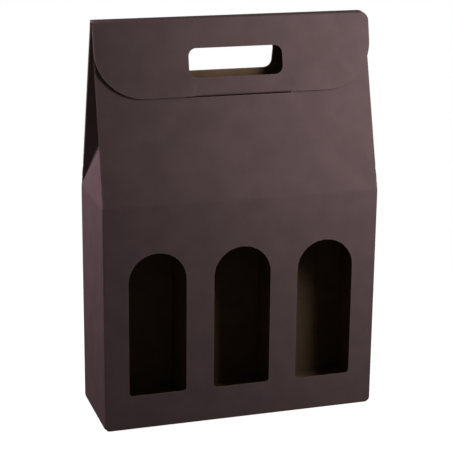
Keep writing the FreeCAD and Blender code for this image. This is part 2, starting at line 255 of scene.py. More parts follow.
@dataclass(frozen=True)
class Form:
    """The sizes that the carton and its lid share.

    The hinge and the outside come from the frame. Heights that end in drop are measured down
    from the top of the ridge.
    """

    width: float
    depth: float
    top_z: float
    hinge_y: float
    hinge_z: float
    shoulder_z: float = 220.0 * MM
    taper: float = 1.5 * MM
    front_top_drop: float = 9.0 * MM
    front_top_y: float = -2.15 * MM
    gusset_drop: float = 37.8 * MM
    gusset_lean: float = math.radians(19.6)
    handle_width: float = 91.0 * MM
    handle_height: float = 26.5 * MM
    handle_drop: float = 27.5 * MM
    handle_corner: float = 7.5 * MM
    flap_drop: float = 71.3 * MM
    flap_standoff: float = 2.0 * MM
    tongue_width: float = 93.0 * MM
    tongue_shift: float = 6.0 * MM
    tongue_drop: float = 70.6 * MM
    board: Board = field(default_factory=Board)

    @classmethod
    def from_frame(cls, packed: dict) -> "Form":
        """Read the outside of the box and the lid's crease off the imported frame.

        Args:
            packed: The frame.

        Returns:
            The form.
        """
        low, high = CAD_BOX
        _, hinge_y, hinge_z = packed["joints"][0]["pos_m"]
        return cls(
            width=high[0] - low[0] - 2.0 * FOLD_PROUD,
            depth=high[1] - low[1] - 2.0 * FOLD_PROUD,
            top_z=hinge_z + Board().half,
            hinge_y=hinge_y,
            hinge_z=hinge_z,
        )

    @property
    def mid_x(self) -> float:
        """Half width of the walls' middle surface."""
        return self.width / 2.0 - self.board.half

    @property
    def mid_y(self) -> float:
        """Half depth of the walls' middle surface."""
        return self.depth / 2.0 - self.board.half

    @property
    def handle_low_z(self) -> float:
        """Height of the lower edge of the handle hole."""
        return self.top_z - self.handle_drop - self.handle_height

    @property
    def tongue_ends(self) -> tuple[float, float]:
        """Left and right side of the tongue."""
        half = self.tongue_width / 2.0
        return self.tongue_shift - half, self.tongue_shift + half

    def gable_x(self, z: float) -> float:
        """Half width of the gable's middle surface at a height, which falls evenly."""
        rise = (z - self.shoulder_z) / (self.top_z - self.shoulder_z)
        return self.mid_x - self.taper * rise


class Panel:
    """A flat panel: a corner point, a direction along it and a direction up it."""

    def __init__(self, origin: tuple[float, ...], along: tuple[float, ...],
                 up: tuple[float, ...]) -> None:
        """Set the panel up; its outer face looks along the cross product of the two.

        Args:
            origin: The corner point.
            along: Direction along the panel, of any length.
            up: Direction up it, of any length.
        """
        self.origin = np.array(origin)
        self.along = unit(np.array(along))
        self.up = unit(np.array(up))
        self.out = np.cross(self.along, self.up)

    def place(self, x: np.ndarray, y: np.ndarray, lift: np.ndarray | float = 0.0) -> np.ndarray:
        """Points of the panel: origin + x along + y up + lift out.

        Args:
            x: Distances along the panel.
            y: Distances up it.
            lift: Heights above it.

        Returns:
            One point for each set of the three.
        """
        x, y, lift = np.broadcast_arrays(x, y, lift)
        return (self.origin + x[..., None] * self.along + y[..., None] * self.up
                + lift[..., None] * self.out)

    def up_to(self, z: float) -> float:
        """Distance up the panel at which it reaches a height."""
        return (z - self.origin[2]) / self.up[2]


def front_gable(form: Form) -> Panel:
    """The sloping front panel, from the shoulder to its own top edge.

    Args:
        form: The sizes.

    Returns:
        The panel, measured from the middle of the shoulder.
    """
    rise = form.top_z - form.front_top_drop - form.shoulder_z
    return Panel((0.0, -form.mid_y, form.shoulder_z), (1.0, 0.0, 0.0),
                 (0.0, form.mid_y + form.front_top_y, rise))


def back_gable(form: Form) -> Panel:
    """The sloping back panel, from the shoulder to the lid's crease, seen from behind.

    Args:
        form: The sizes.

    Returns:
        The panel, measured from the middle of the shoulder.
    """
    return Panel((0.0, form.mid_y, form.shoulder_z), (-1.0, 0.0, 0.0),
                 (0.0, form.hinge_y - form.mid_y, form.hinge_z - form.shoulder_z))


class Outline:
    """A closed outline of straight stretches and corner arcs, anticlockwise.

    Each corner (x, y, r) gives way to an arc of radius r that touches both of its sides. The
    arc of corner k starts at marks[2k] and ends at marks[2k + 1], as distances along the
    outline.
    """

    def __init__(self, corners: list[tuple[float, float, float]]) -> None:
        """Work out each corner's arc and the straight stretch after it.

        Args:
            corners: The corners, each with its radius, anticlockwise.
        """
        table = np.array(corners)
        spots = table[:, :2]
        back = unit(np.roll(spots, 1, axis=0) - spots)
        ahead = unit(np.roll(spots, -1, axis=0) - spots)
        half_turn = 0.5 * np.arccos(np.clip((back * ahead).sum(axis=1), -1.0, 1.0))
        self.radius = np.maximum(table[:, 2], SPECK)
        reach = (self.radius / np.tan(half_turn))[:, None]
        start = spots + back * reach
        self.end = spots + ahead * reach
        self.centre = spots + unit(back + ahead) * (self.radius / np.sin(half_turn))[:, None]
        self.first_angle = np.arctan2(*(start - self.centre).T[::-1])
        straight = np.roll(start, -1, axis=0) - self.end
        self.heading = unit(straight)
        arcs = self.radius * (math.pi - 2.0 * half_turn)
        lengths = np.stack([arcs, np.linalg.norm(straight, axis=1)], axis=1).reshape(-1)
        self.marks = np.concatenate([[0.0], np.cumsum(lengths)])

    def at(self, distance: np.ndarray) -> np.ndarray:
        """Points of the outline.

        Args:
            distance: Distances along it, measured from the first arc's start.

        Returns:
            One point for each distance.
        """
        wrapped = np.mod(distance, self.marks[-1])
        stretch = np.searchsorted(self.marks, wrapped, side="right") - 1
        stretch = np.clip(stretch, 0, len(self.marks) - 2)
        corner = stretch // 2
        local = wrapped - self.marks[stretch]
        angle = self.first_angle[corner] + local / self.radius[corner]
        turned = np.stack([np.cos(angle), np.sin(angle)], axis=1)
        on_arc = self.centre[corner] + self.radius[corner][:, None] * turned
        on_line = self.end[corner] + local[:, None] * self.heading[corner]
        return np.where((stretch % 2 == 1)[:, None], on_line, on_arc)

    def matched(self, across: int, upward: int,
                shares: list[tuple[float, float]]) -> np.ndarray:
        """Points of the outline that face the points around a rectangular cell.

        The middle of each corner's arc faces a corner of the cell, and the arc takes the
        given number of the cell's steps before and after it.

        Args:
            across: Steps along the cell's lower side.
            upward: Steps up its right side.
            shares: Steps before and after each corner, from the lower left anticlockwise.

        Returns:
            One point for each point of the cell's outline, from its lower left corner.
        """
        total = 2 * (across + upward)
        steps = np.array([0, across, across + upward, 2 * across + upward])
        anchors = []
        for k, (before, after) in enumerate(shares):
            start, end = self.marks[2 * k], self.marks[2 * k + 1]
            anchors += [(steps[k] - before, start), (steps[k], (start + end) / 2.0),
                        (steps[k] + after, end)]
        anchors.append((total - shares[0][0], self.marks[-1]))
        anchors.append((total, self.marks[-1] + (self.marks[0] + self.marks[1]) / 2.0))
        index, distance = np.array(anchors).T
        return self.at(np.interp(np.arange(total), index, distance))


def rectangle(left: float, right: float, low: float, high: float, radius: float) -> Outline:
    """A rectangle with four equal corner arcs."""
    return Outline([(left, low, radius), (right, low, radius),
                    (right, high, radius), (left, high, radius)])


@dataclass
class Grid:
    """A grid of a sheet's points, rows by columns.

    It holds their numbers, the points, their places on the flat sheet (across and up, in
    metres), and which of its meshes are filled.
    """

    numbers: np.ndarray
    points: np.ndarray
    chart: np.ndarray
    keep: np.ndarray = field(init=False)

    def __post_init__(self) -> None:
        """Fill every mesh, to begin with."""
        self.keep = np.ones(np.subtract(self.numbers.shape, 1), bool)


class Sheet:
    """One sheet of board, gathered as points and four-sided faces of its middle surface."""

    def __init__(self, board: Board) -> None:
        """Start an empty sheet.

        Args:
            board: What it is made of.
        """
        self.board = board
        self.blocks: list[np.ndarray] = []
        self.count = 0
        self.quads: list[np.ndarray] = []
        self.charts: list[np.ndarray] = []
        self.creases: list[Crease] = []
        self.dents: list[Dent] = []
        self.seam = np.zeros(0, int)

    def add_points(self, points: np.ndarray) -> np.ndarray:
        """Take in an array of points.

        Args:
            points: The points, in any arrangement.

        Returns:
            Their numbers in the same arrangement.
        """
        numbers = np.arange(self.count, self.count + points[..., 0].size)
        self.blocks.append(points.reshape(-1, 3))
        self.count += numbers.size
        return numbers.reshape(points.shape[:-1])

    def add_faces(self, numbers: np.ndarray, chart: np.ndarray,
                  keep: np.ndarray | None = None) -> None:
        """Fill the meshes of a grid of point numbers.

        Args:
            numbers: Point numbers, rows by columns.
            chart: Place on the flat sheet of each of them, across and up, in metres.
            keep: Which meshes to fill, all of them if it is left out.
        """
        def ring_of(values: np.ndarray) -> np.ndarray:
            """The four corners of each mesh, anticlockwise from the lower left."""
            ring = np.stack([values[:-1, :-1], values[:-1, 1:], values[1:, 1:], values[1:, :-1]], 2)
            return ring[slice(None) if keep is None else keep]

        self.quads.append(ring_of(numbers).reshape(-1, 4))
        self.charts.append(ring_of(chart).reshape(-1, 4, 2))

    def add_grid(self, points: np.ndarray, chart: np.ndarray) -> None:
        """Take in a grid of points with all its faces."""
        self.add_faces(self.add_points(points), chart)

    def add_crease(self, start: np.ndarray, end: np.ndarray, reach: float,
                   worn: float) -> None:
        """Note a crease of the sheet."""
        self.creases.append(Crease(np.array(start), np.array(end), reach, worn))

    def add_dent(self, corner: tuple[float, ...], push: tuple[float, ...], reach: float) -> None:
        """Note a blunted corner, with its push."""
        self.dents.append(Dent(np.array(corner), np.array(corner), np.array(push), reach))

    def cut_hole(self, grid: Grid, cell: tuple[slice, slice], flat: np.ndarray, hole: Outline,
                 shares: list[tuple[float, float]], place: Place) -> None:
        """Leave one cell of a grid open and fill it around a hole.

        Each ring of points lies a share of the way from the hole to the cell's outline:
        hole + t (cell - hole), with the rings closer together beside the hole.

        Args:
            grid: The grid.
            cell: Rows and columns of the cell's points.
            flat: Flat coordinates of the grid's points on the panel.
            hole: The hole's outline, in the same coordinates.
            shares: Steps that each corner's arc takes, as in Outline.matched.
            place: Turns flat coordinates into points.
        """
        def around(values: np.ndarray) -> np.ndarray:
            """The cell's outline in a grid, anticlockwise from its lower left corner."""
            part = values[cell]
            return np.concatenate([part[0, :-1], part[:-1, -1], part[-1, :0:-1],
                                   part[:0:-1, 0]])

        rows, columns = (slice(part.start, part.stop - 1) for part in cell)
        grid.keep[rows, columns] = False
        outer = around(flat)
        inner = hole.matched(columns.stop - columns.start, rows.stop - rows.start, shares)
        rings = inner + RINGS * (outer - inner)
        slide = around(grid.chart) - outer
        fresh = self.add_points(place(rings[..., 0], rings[..., 1]))
        numbers = np.concatenate([fresh, around(grid.numbers)[None]])
        chart = np.concatenate([rings + slide, (outer + slide)[None]])
        closed = np.concatenate([numbers, numbers[:, :1]], axis=1)
        closed_chart = np.concatenate([chart, chart[:, :1]], axis=1)
        self.add_faces(closed[:, ::-1], closed_chart[:, ::-1])

    def soften(self, points: np.ndarray, quads: np.ndarray, rounds: int = 12,
               give: float = 0.6) -> np.ndarray:
        """Round the creases off.

        Each point near a crease moves part of the way to the mean of its neighbours, several
        times over. A point on a cut edge heeds only its neighbours on that edge, and the
        pull fades with the distance from the crease.

        Args:
            points: Middle surface.
            quads: Its faces.
            rounds: How many times the points move.
            give: How far a point on a crease moves each time, as a share of the way.

        Returns:
            The softened middle surface.
        """
        pull = np.zeros(len(points))
        for crease in self.creases:
            near = 1.0 - smooth_step(crease.gap(points) / max(crease.reach, SPECK))
            pull = np.maximum(pull, near)
        sides = np.sort(np.stack([quads, np.roll(quads, -1, axis=1)], 2).reshape(-1, 2), axis=1)
        edges, uses = np.unique(sides, axis=0, return_counts=True)
        rim_edge = uses == 1
        on_rim = np.zeros(len(points), bool)
        on_rim[edges[rim_edge].reshape(-1)] = True
        both = np.concatenate([edges, edges[:, ::-1]])
        heeded = np.concatenate([rim_edge, rim_edge]) | ~on_rim[both[:, 0]]
        here, there = both[heeded].T
        number = np.maximum(np.bincount(here, minlength=len(points)), 1)[:, None]
        moved = points.copy()
        for _ in range(rounds):
            mean = np.stack([np.bincount(here, moved[there, k], len(points))
                             for k in range(3)], 1) / number
            moved += give * pull[:, None] * (mean - moved)
        return moved

    def wear(self, points: np.ndarray) -> np.ndarray:
        """How worn the sheet is: a crease's own share on its line, fading beside it.

        Args:
            points: Middle surface.

        Returns:
            A share from 0 to 1 for each point.
        """
        worn = np.zeros(len(points))
        for crease in self.creases:
            near = 1.0 - smooth_step(crease.gap(points) / self.board.scuff_reach)
            worn = np.maximum(worn, crease.worn * near)
        return worn

    def stand_off(self, points: np.ndarray, quads: np.ndarray) -> np.ndarray:
        """How the outer face stands off the middle surface, and the inner face off it back.

        Each point stands half a thickness off along the mean of the normals around it,
        lengthened so that the board keeps its thickness round a fold.

        Args:
            points: Middle surface.
            quads: Its faces.

        Returns:
            One offset for each point.
        """
        total = len(points)
        corners = points[quads]
        face_normal = unit(np.cross(corners[:, 2] - corners[:, 0], corners[:, 3] - corners[:, 1]))
        mean = np.zeros((total, 3))
        np.add.at(mean, quads.reshape(-1), np.repeat(face_normal, 4, axis=0))
        normal = unit(mean)
        lean = np.zeros(total)
        agree = (normal[quads] * face_normal[:, None, :]).sum(axis=2)
        np.add.at(lean, quads.reshape(-1), agree.reshape(-1))
        lean /= np.bincount(quads.reshape(-1), minlength=total)
        return normal * (self.board.half / np.clip(lean, self.board.least_lean, 1.0))[:, None]

    def cut_edges(self, quads: np.ndarray, chart: np.ndarray,
                  total: int) -> tuple[np.ndarray, np.ndarray]:
        """The faces that close the outer and the inner face where the sheet ends.

        Args:
            quads: Faces of the middle surface.
            chart: Their corners' places on the flat sheet.
            total: Number of points of the middle surface, by which the inner face's differ.

        Returns:
            The faces, and their corners' places along the edge and across it.
        """
        ends = np.stack([quads, np.roll(quads, -1, axis=1)], axis=2).reshape(-1, 2)
        end_chart = np.stack([chart, np.roll(chart, -1, axis=1)], axis=2).reshape(-1, 2, 2)
        keys = np.sort(ends, axis=1) @ np.array([total, 1])
        _, where, uses = np.unique(keys, return_index=True, return_counts=True)
        free = where[uses == 1]
        first, second = ends[free].T
        cut = np.stack([second, first, first + total, second + total], axis=1)
        along = end_chart[free][:, [1, 0, 0, 1], 0]
        depth = np.array([0.5, 0.5, -0.5, -0.5]) * np.ones_like(along)
        return cut, np.stack([along, depth * self.board.thickness], axis=2)

    def finish(self, name: str, finishes: list[bpy.types.Material]) -> bpy.types.Object:
        """Give the sheet its thickness and make it an object.

        Points that no face uses, which a hole's cell leaves behind, are dropped. Cut edges
        close the outer and the inner face.

        Args:
            name: Name of the piece.
            finishes: Materials of the outside, the inside and the cut edges.

        Returns:
            The new object, in place.
        """
        used, numbers = np.unique(np.concatenate(self.quads), return_inverse=True)
        quads = numbers.reshape(-1, 4)
        chart = np.concatenate(self.charts)
        flat_points = np.concatenate(self.blocks)[used]
        worn = self.wear(flat_points)
        points = self.soften(flat_points, quads)
        for dent in self.dents:
            points = dent.moved(points)
        total = len(points)
        shift = self.stand_off(points, quads)
        cut, cut_chart = self.cut_edges(quads, chart, total)
        faces = np.concatenate([quads, quads[:, ::-1] + total, cut])
        maps = np.concatenate([chart, chart[:, ::-1], cut_chart])
        sides = np.repeat([Face.OUTSIDE.value, Face.INSIDE.value, Face.CUT.value],
                          [len(quads), len(quads), len(cut)])
        rim_points = points[np.setdiff1d(cut[:, :2], np.searchsorted(used, self.seam))]
        # nearness to a cut edge, for the paler line there that is part wear and part painted
        # highlight
        edge = 1.0 - smooth_step(gap_to(points, rim_points) / self.board.rim_wear_and_highlight_reach)
        mesh = mesh_from(name, np.concatenate([points + shift, points - shift]), faces)
        mesh.polygons.foreach_set("material_index", sides.astype(np.int32))
        mesh.uv_layers.new(name="Board").data.foreach_set("uv", maps.reshape(-1))
        set_attribute(mesh, "fold", np.tile(worn, 2))
        set_attribute(mesh, "edge", np.tile(edge, 2))
        mesh.shade_smooth()
        mesh.set_sharp_from_angle(angle=SHARP_ANGLE)
        for material in finishes:
            mesh.materials.append(material)
        LOG.info("%s: %d points, %d faces", name, 2 * total, len(faces))
        return put_in_scene(name, mesh)


def gap_to(points: np.ndarray, targets: np.ndarray, batch: int = 1500) -> np.ndarray:
    """Distance from each point to the nearest target, by |p|^2 + |t|^2 - 2 p.t in batches.

    Args:
        points: Rows of points.
        targets: Rows of targets.
        batch: How many points are worked out at a time.

    Returns:
        One distance for each point.
    """
    rows = [points[k:k + batch] for k in range(0, len(points), batch)]
    return np.concatenate([
        np.sqrt(np.maximum(
            (part ** 2).sum(1)[:, None] + (targets ** 2).sum(1) - 2.0 * part @ targets.T, 0.0,
        ).min(axis=1)) for part in rows
    ])


def mesh_from(name: str, points: np.ndarray, faces: np.ndarray) -> bpy.types.Mesh:
    """A mesh of four-sided faces.

    Args:
        name: Name of the mesh.
        points: Rows of points.
        faces: Rows of four point numbers.

    Returns:
        The new mesh.
    """
    mesh = bpy.data.meshes.new(name)
    mesh.vertices.add(len(points))
    mesh.vertices.foreach_set("co", points.reshape(-1))
    mesh.loops.add(faces.size)
    mesh.loops.foreach_set("vertex_index", faces.reshape(-1).astype(np.int32))
    mesh.polygons.add(len(faces))
    mesh.polygons.foreach_set("loop_start", np.arange(0, faces.size, 4, dtype=np.int32))
    mesh.update(calc_edges=True)
    mesh.validate()
    return mesh


def set_attribute(mesh: bpy.types.Mesh, name: str, values: np.ndarray) -> None:
    """Store one number for each point of a mesh under a name."""
    layer = mesh.attributes.new(name, "FLOAT", "POINT")
    layer.data.foreach_set("value", values.astype(np.float32))


def put_in_scene(name: str, mesh: bpy.types.Mesh) -> bpy.types.Object:
    """Link a mesh into the scene.

    Args:
        name: Name of the object.
        mesh: The mesh.

    Returns:
        The new object, which stands at the origin.
    """
    piece = bpy.data.objects.new(name, mesh)
    bpy.context.scene.collection.objects.link(piece)
    return piece


@dataclass
class Carton:
    """The folded sheet below the lid: walls with windows, bottom, gable and side gussets."""

    form: Form
    window_count: int = 3
    window_pitch: float = 83.0 * MM
    window_width: float = 56.0 * MM
    window_foot_z: float = 33.7 * MM
    window_top_z: float = 173.6 * MM
    window_corner: float = 3.5 * MM
    corner_steps: tuple[float, float] = (3, 3)      # of a cell before and after a corner
    slot_steps: tuple[float, float] = (1, 1)
    handle_margin: float = 2.5 * MM
    handle_cell: float = 5.5 * MM
    slot_cell: float = 6.5 * MM
    slot_gap: float = 0.9 * MM
    slot_corner: float = 1.0 * MM
    slot_left: float = 8.0 * MM
    slot_right: float = 1.5 * MM
    gusset_top_gap: float = 3.0 * MM
    gusset_tip: float = 1.4 * MM
    gusset_run: float = 0.83            # of its creases on the flat sheet, over the panels'
    lid_gap: float = 1.2 * MM
    crease_ease: float = 6.0 * MM
    seam_gap: float = 0.8 * MM
    hook_width: float = 110.0 * MM
    hook_reach: float = 16.0 * MM
    inner_flap_end: float = 47.5 * MM
    flap_relief: float = 1.3 * MM
    relief_run: float = 4.0 * MM
    flap_rows: int = 12
    flap_crowding: float = 1.4          # power that brings its lines closer beside the fold
    tab_width: float = 25.0 * MM
    tab_inset: float = 5.0 * MM
    tab_side_gap: float = 0.1 * MM
    tab_columns: int = 10
    tab_rows: int = 40
    glue_gap: float = 0.02 * MM
    shoulder_worn: float = 0.06
    foot_worn: float = 0.5
    cell_margin: float = 8.5 * MM
    dent_depth: float = 1.1 * MM
    dent_reach: float = 4.5 * MM
    front_lines: int = 66
    side_lines: int = 18
    wing_lines: int = 5
    wall_rows: int = 50
    gable_rows: int = 40
    sheet: Sheet = field(init=False)

    def __post_init__(self) -> None:
        """Start the sheet and the two sloping panels."""
        self.sheet = Sheet(self.form.board)
        self.front = front_gable(self.form)
        self.back = back_gable(self.form)

    def crease_ends(self) -> tuple[np.ndarray, np.ndarray, np.ndarray]:
        """The eight upright creases of the gable, in their order round the box.

        They are the front panel's left and right edge, the right gusset's front and back
        crease, the back panel's two edges, and the left gusset's back and front crease.

        Returns:
            Where each starts on the rounded corners of the walls, the sharp corner that it
            makes for, and its top, as three arrays of eight points.
        """
        form = self.form
        radius = form.board.fold_radius
        x, y, z = form.mid_x, form.mid_y, form.shoulder_z
        near_x, near_y = x - radius, y - radius
        starts = [(-near_x, -y), (near_x, -y), (x, -near_y), (x, near_y),
                  (near_x, y), (-near_x, y), (-x, near_y), (-x, -near_y)]
        corners = [(-x, -y), (x, -y), (x, -y), (x, y), (x, y), (-x, y), (-x, y), (-x, -y)]
        front_z = form.top_z - form.front_top_drop
        front_x = form.gable_x(front_z)
        front_v = self.front.up_to(front_z)
        front_right = self.front.place(front_x, front_v)
        front_left = self.front.place(-front_x, front_v)
        back_z = form.hinge_z - self.gusset_top_gap
        back_x = form.gable_x(back_z)
        back_right = self.back.place(-back_x, self.back_top_v)
        back_left = self.back.place(back_x, self.back_top_v)
        rise = form.top_z - form.gusset_drop - z
        apex_x = x - rise * math.tan(form.gusset_lean)
        tip = self.gusset_tip / 2.0
        tops = [front_left, front_right, (apex_x, -tip, z + rise), (apex_x, tip, z + rise),
                back_right, back_left, (-apex_x, tip, z + rise), (-apex_x, -tip, z + rise)]
        raised = np.full((8, 1), z)
        return (np.hstack([np.array(starts), raised]), np.hstack([np.array(corners), raised]),
                np.array([np.array(top, float) for top in tops]))

    @property
    def back_top_v(self) -> float:
        """How far up the back panel its edges reach, below the strip beside the lid."""
        return self.back.up_to(self.form.hinge_z) - self.lid_gap - self.gusset_top_gap

    def gable_loops(self, shares: np.ndarray) -> tuple[np.ndarray, np.ndarray, list[slice]]:
        """Closed lines round the gable, one for each share of the way up its creases.

        A crease at share s lies at corner + s (top - corner), and near the shoulder it eases
        over to its start on the rounded corner. Each line runs straight from crease to
        crease, and at the shoulder it follows the quarter circles of the walls' corners.

        Args:
            shares: Shares from 0 at the shoulder to 1 at the top.

        Returns:
            The points, their places on the flat sheet, both as rows by columns with the first
            column repeated as the last, and the columns of each of the eight sections.
        """
        starts, corners, tops = self.crease_ends()
        length = self.front.up_to(self.form.top_z - self.form.front_top_drop)
        ease = 1.0 - smooth_step(shares * length / self.crease_ease)
        up = shares[:, None, None]
        lines = corners + up * (tops - corners) + ease[:, None, None] * (starts - corners)
        lines = np.concatenate([lines, lines[:, :1]], axis=1)
        counts = [self.front_lines, self.wing_lines, self.side_lines, self.wing_lines] * 2
        rows, share_rows, sections, first = [], [], [], 0
        for k, inner in enumerate(counts):
            width = np.linalg.norm(lines[:, k + 1] - lines[:, k], axis=1)
            across = spread(width, inner)
            row = between(lines[:, k], lines[:, k + 1], across)
            if k % 2 == 1:
                row = row + ease[:, None, None] * self.corner_bulge(k, across[0])
            rows.append(row[:, :-1])
            share_rows.append(across[:, :-1])
            sections.append(slice(first, first + across.shape[1]))
            first += across.shape[1] - 1
        rows.append(rows[0][:, :1])
        loops = np.concatenate(rows, axis=1)
        return loops, self.gable_chart(loops[0], shares, share_rows, length), sections

    def corner_bulge(self, section: int, across: np.ndarray) -> np.ndarray:
        """How far a wall corner's quarter circle stands off the straight line across it.

        Args:
            section: Number of the section, 1, 3, 5 or 7, which gives the corner.
            across: Shares along it.

        Returns:
            One offset for each share.
        """
        radius = self.form.board.fold_radius
        first = math.radians(-90.0 + 90.0 * (section // 2))
        angle = first + across * math.pi / 2.0
        arc = np.stack([np.cos(angle), np.sin(angle), np.zeros_like(angle)], axis=1) * radius
        return arc - (arc[0] + across[:, None] * (arc[-1] - arc[0]))

    def gable_chart(self, base: np.ndarray, shares: np.ndarray,
                    across: list[np.ndarray], length: float) -> np.ndarray:
        """Places of the gable's points on the flat sheet.

        On the flat sheet, the front and back panels' edges run straight up, and a gusset's two
        creases meet in the middle of the side panel, so each section is blended between the
        flat places of its two creases.

        Args:
            base: The line at the shoulder, with its first point repeated at the end.
            shares: Shares of the way up.
            across: Shares along each section, for each line.
            length: Length of the front panel.

        Returns:
            Rows by columns by (across, up).
        """
        along = run_along(base)
        marks = np.cumsum([0] + [part.shape[1] for part in across])
        feet = along[marks]
        heads = feet.copy()
        heads[[2, 3]] = feet[[2, 3]].mean()
        heads[[6, 7]] = feet[[6, 7]].mean()
        reach = np.full(len(feet), length)
        reach[[2, 3, 6, 7]] = length * self.gusset_run
        blocks = []
        for k, part in enumerate(across):
            foot_line = np.outer(1.0 - shares, feet) + np.outer(shares, heads)
            run = foot_line[:, k:k + 1] + part * (foot_line[:, k + 1] - foot_line[:, k])[:, None]
            climb = reach[k] + part * (reach[k + 1] - reach[k])
            blocks.append(gathered(run, self.form.shoulder_z + shares[:, None] * climb))
        last = gathered(along[-1], self.form.shoulder_z + shares * length)[:, None]
        return np.concatenate(blocks + [last], axis=1)

    def build(self, finishes: list[bpy.types.Material]) -> bpy.types.Object:
        """Build the whole carton.

        The walls' lines repeat the one at the shoulder, so walls and gable are one grid, and
        its last column is its first again.

        Args:
            finishes: Materials of the outside, the inside and the cut edges.

        Returns:
            The piece, in place.
        """
        form = self.form
        climb = spread(self.front.up_to(form.top_z - form.front_top_drop), self.gable_rows)
        loops, chart, sections = self.gable_loops(climb)
        foot = self.foot_heights(loops.shape[1], sections)
        steps = spread(form.shoulder_z, self.wall_rows)[:-1, None]
        walls = np.repeat(loops[:1], len(steps), axis=0)
        walls[..., 2] = foot + steps * (form.shoulder_z - foot)
        wall_chart = np.repeat(chart[:1], len(steps), axis=0)
        wall_chart[..., 1] = walls[..., 2]
        points = np.concatenate([walls, loops])
        numbers = self.sheet.add_points(points[:, :-1])
        grid = Grid(np.concatenate([numbers, numbers[:, :1]], axis=1), points,
                    np.concatenate([wall_chart, chart]))
        self.cut_windows(grid, sections[0])
        self.cut_gable_holes(grid, sections, len(steps), climb)
        self.sheet.add_faces(grid.numbers, grid.chart, grid.keep)
        self.add_back_strip(grid, sections[4])
        self.add_bottom(grid, sections)
        self.add_glue_tab()
        self.add_creases()
        return self.sheet.finish("carton_shell", finishes)

    def foot_heights(self, columns: int, sections: list[slice]) -> np.ndarray:
        """Height at which each upright line of the walls ends above its bottom fold.

        The side walls' flaps lie on top of the front's and the back's, so they end one board
        higher, and the corners run over from one height to the other.

        Args:
            columns: Number of lines.
            sections: Lines of each of the eight sections round the box.

        Returns:
            One height for each line.
        """
        low = self.form.board.half + self.form.board.fold_radius
        high = low + self.form.board.thickness
        marks = [part.start for part in sections] + [columns - 1]
        return np.interp(np.arange(columns), marks, [low, low, high, high] * 2 + [low])

    def cut_windows(self, grid: Grid, front: slice) -> None:
        """Cut the arched windows: a half circle over a rectangle with two small corners.

        Args:
            grid: The walls and the gable.
            front: Its columns on the front wall.
        """
        wall_y = -self.form.mid_y
        radius = self.window_width / 2.0
        margin = self.cell_margin
        heights = grid.points[:, front.start, 2]
        spring = np.interp(self.window_top_z - radius, heights, np.arange(len(heights)))
        for k in range(self.window_count):
            centre = self.window_pitch * (k - (self.window_count - 1) / 2.0)
            left, right = centre - radius, centre + radius
            hole = Outline([(left, self.window_foot_z, self.window_corner),
                            (right, self.window_foot_z, self.window_corner),
                            (right, self.window_top_z, radius),
                            (left, self.window_top_z, radius)])
            box = (left - margin, right + margin,
                   self.window_foot_z - margin, self.window_top_z + margin)
            cell = cell_around(heights, grid.points[0, front, 0], box, (0, front.start))
            arch_side = cell[0].stop - 1 - spring
            half_top = (cell[1].stop - 1 - cell[1].start) / 2.0
            self.sheet.cut_hole(grid, cell, grid.points[..., [0, 2]], hole,
                                [self.corner_steps, self.corner_steps,
                                 (arch_side, half_top), (half_top, arch_side)],
                                lambda x, z: gathered(x, wall_y, z))

    def cut_gable_holes(self, grid: Grid, sections: list[slice], first_row: int,
                        climb: np.ndarray) -> None:
        """Cut the handle hole in both sloping panels, and the tongue's slot in the front one.

        Args:
            grid: The walls and the gable.
            sections: Its columns in each of the eight sections round the box.
            first_row: Its row at the shoulder.
            climb: Share of the way up the gable of each row from there.
        """
        form = self.form
        half = form.handle_width / 2.0
        high_z = form.handle_low_z + form.handle_height
        tongue_left, tongue_right = form.tongue_ends
        tongue_v = self.front.up_to(form.top_z - form.tongue_drop)
        slot_half = form.board.half + self.slot_gap
        margin = self.handle_margin
        handle = (-half - margin, half + margin, self.front.up_to(form.handle_low_z) - margin,
                  self.front.up_to(high_z) + margin, form.handle_corner + margin)
        slot = (tongue_left - self.slot_left, tongue_right + self.slot_right,
                tongue_v - slot_half, tongue_v + slot_half, self.slot_corner)
        rear = (-half, half, self.back.up_to(form.handle_low_z), self.back.up_to(high_z),
                form.handle_corner)
        for panel, section, sizes, steps, around in (
                (self.front, sections[0], handle, self.corner_steps, self.handle_cell),
                (self.front, sections[0], slot, self.slot_steps, self.slot_cell),
                (self.back, sections[4], rear, self.corner_steps, self.handle_cell)):
            gap = grid.points - panel.origin
            flat = gathered(gap @ panel.along, gap @ panel.up)
            rows = flat[first_row:, section.start, 1]
            columns = flat[first_row + len(climb) // 2, section, 0]
            left, right, low, high, _ = sizes
            cell = cell_around(rows, columns, (left - around, right + around, low - around,
                                               high + around), (first_row, section.start))
            self.sheet.cut_hole(grid, cell, flat, rectangle(*sizes), [steps] * 4, panel.place)

    def add_back_strip(self, grid: Grid, back: slice) -> None:
        """Carry the back panel on from its top line to the lid's crease, in two steps.

        Args:
            grid: The walls and the gable.
            back: Its columns on the back panel.
        """
        rise = np.array([0.0, 0.5, 1.0])[:, None, None] * self.gusset_top_gap
        fresh = self.sheet.add_points(grid.points[-1, back] + rise[1:] * self.back.up)
        self.sheet.add_faces(np.concatenate([grid.numbers[-1:, back], fresh]),
                             grid.chart[-1, back] + rise * np.array([0.0, 1.0]))

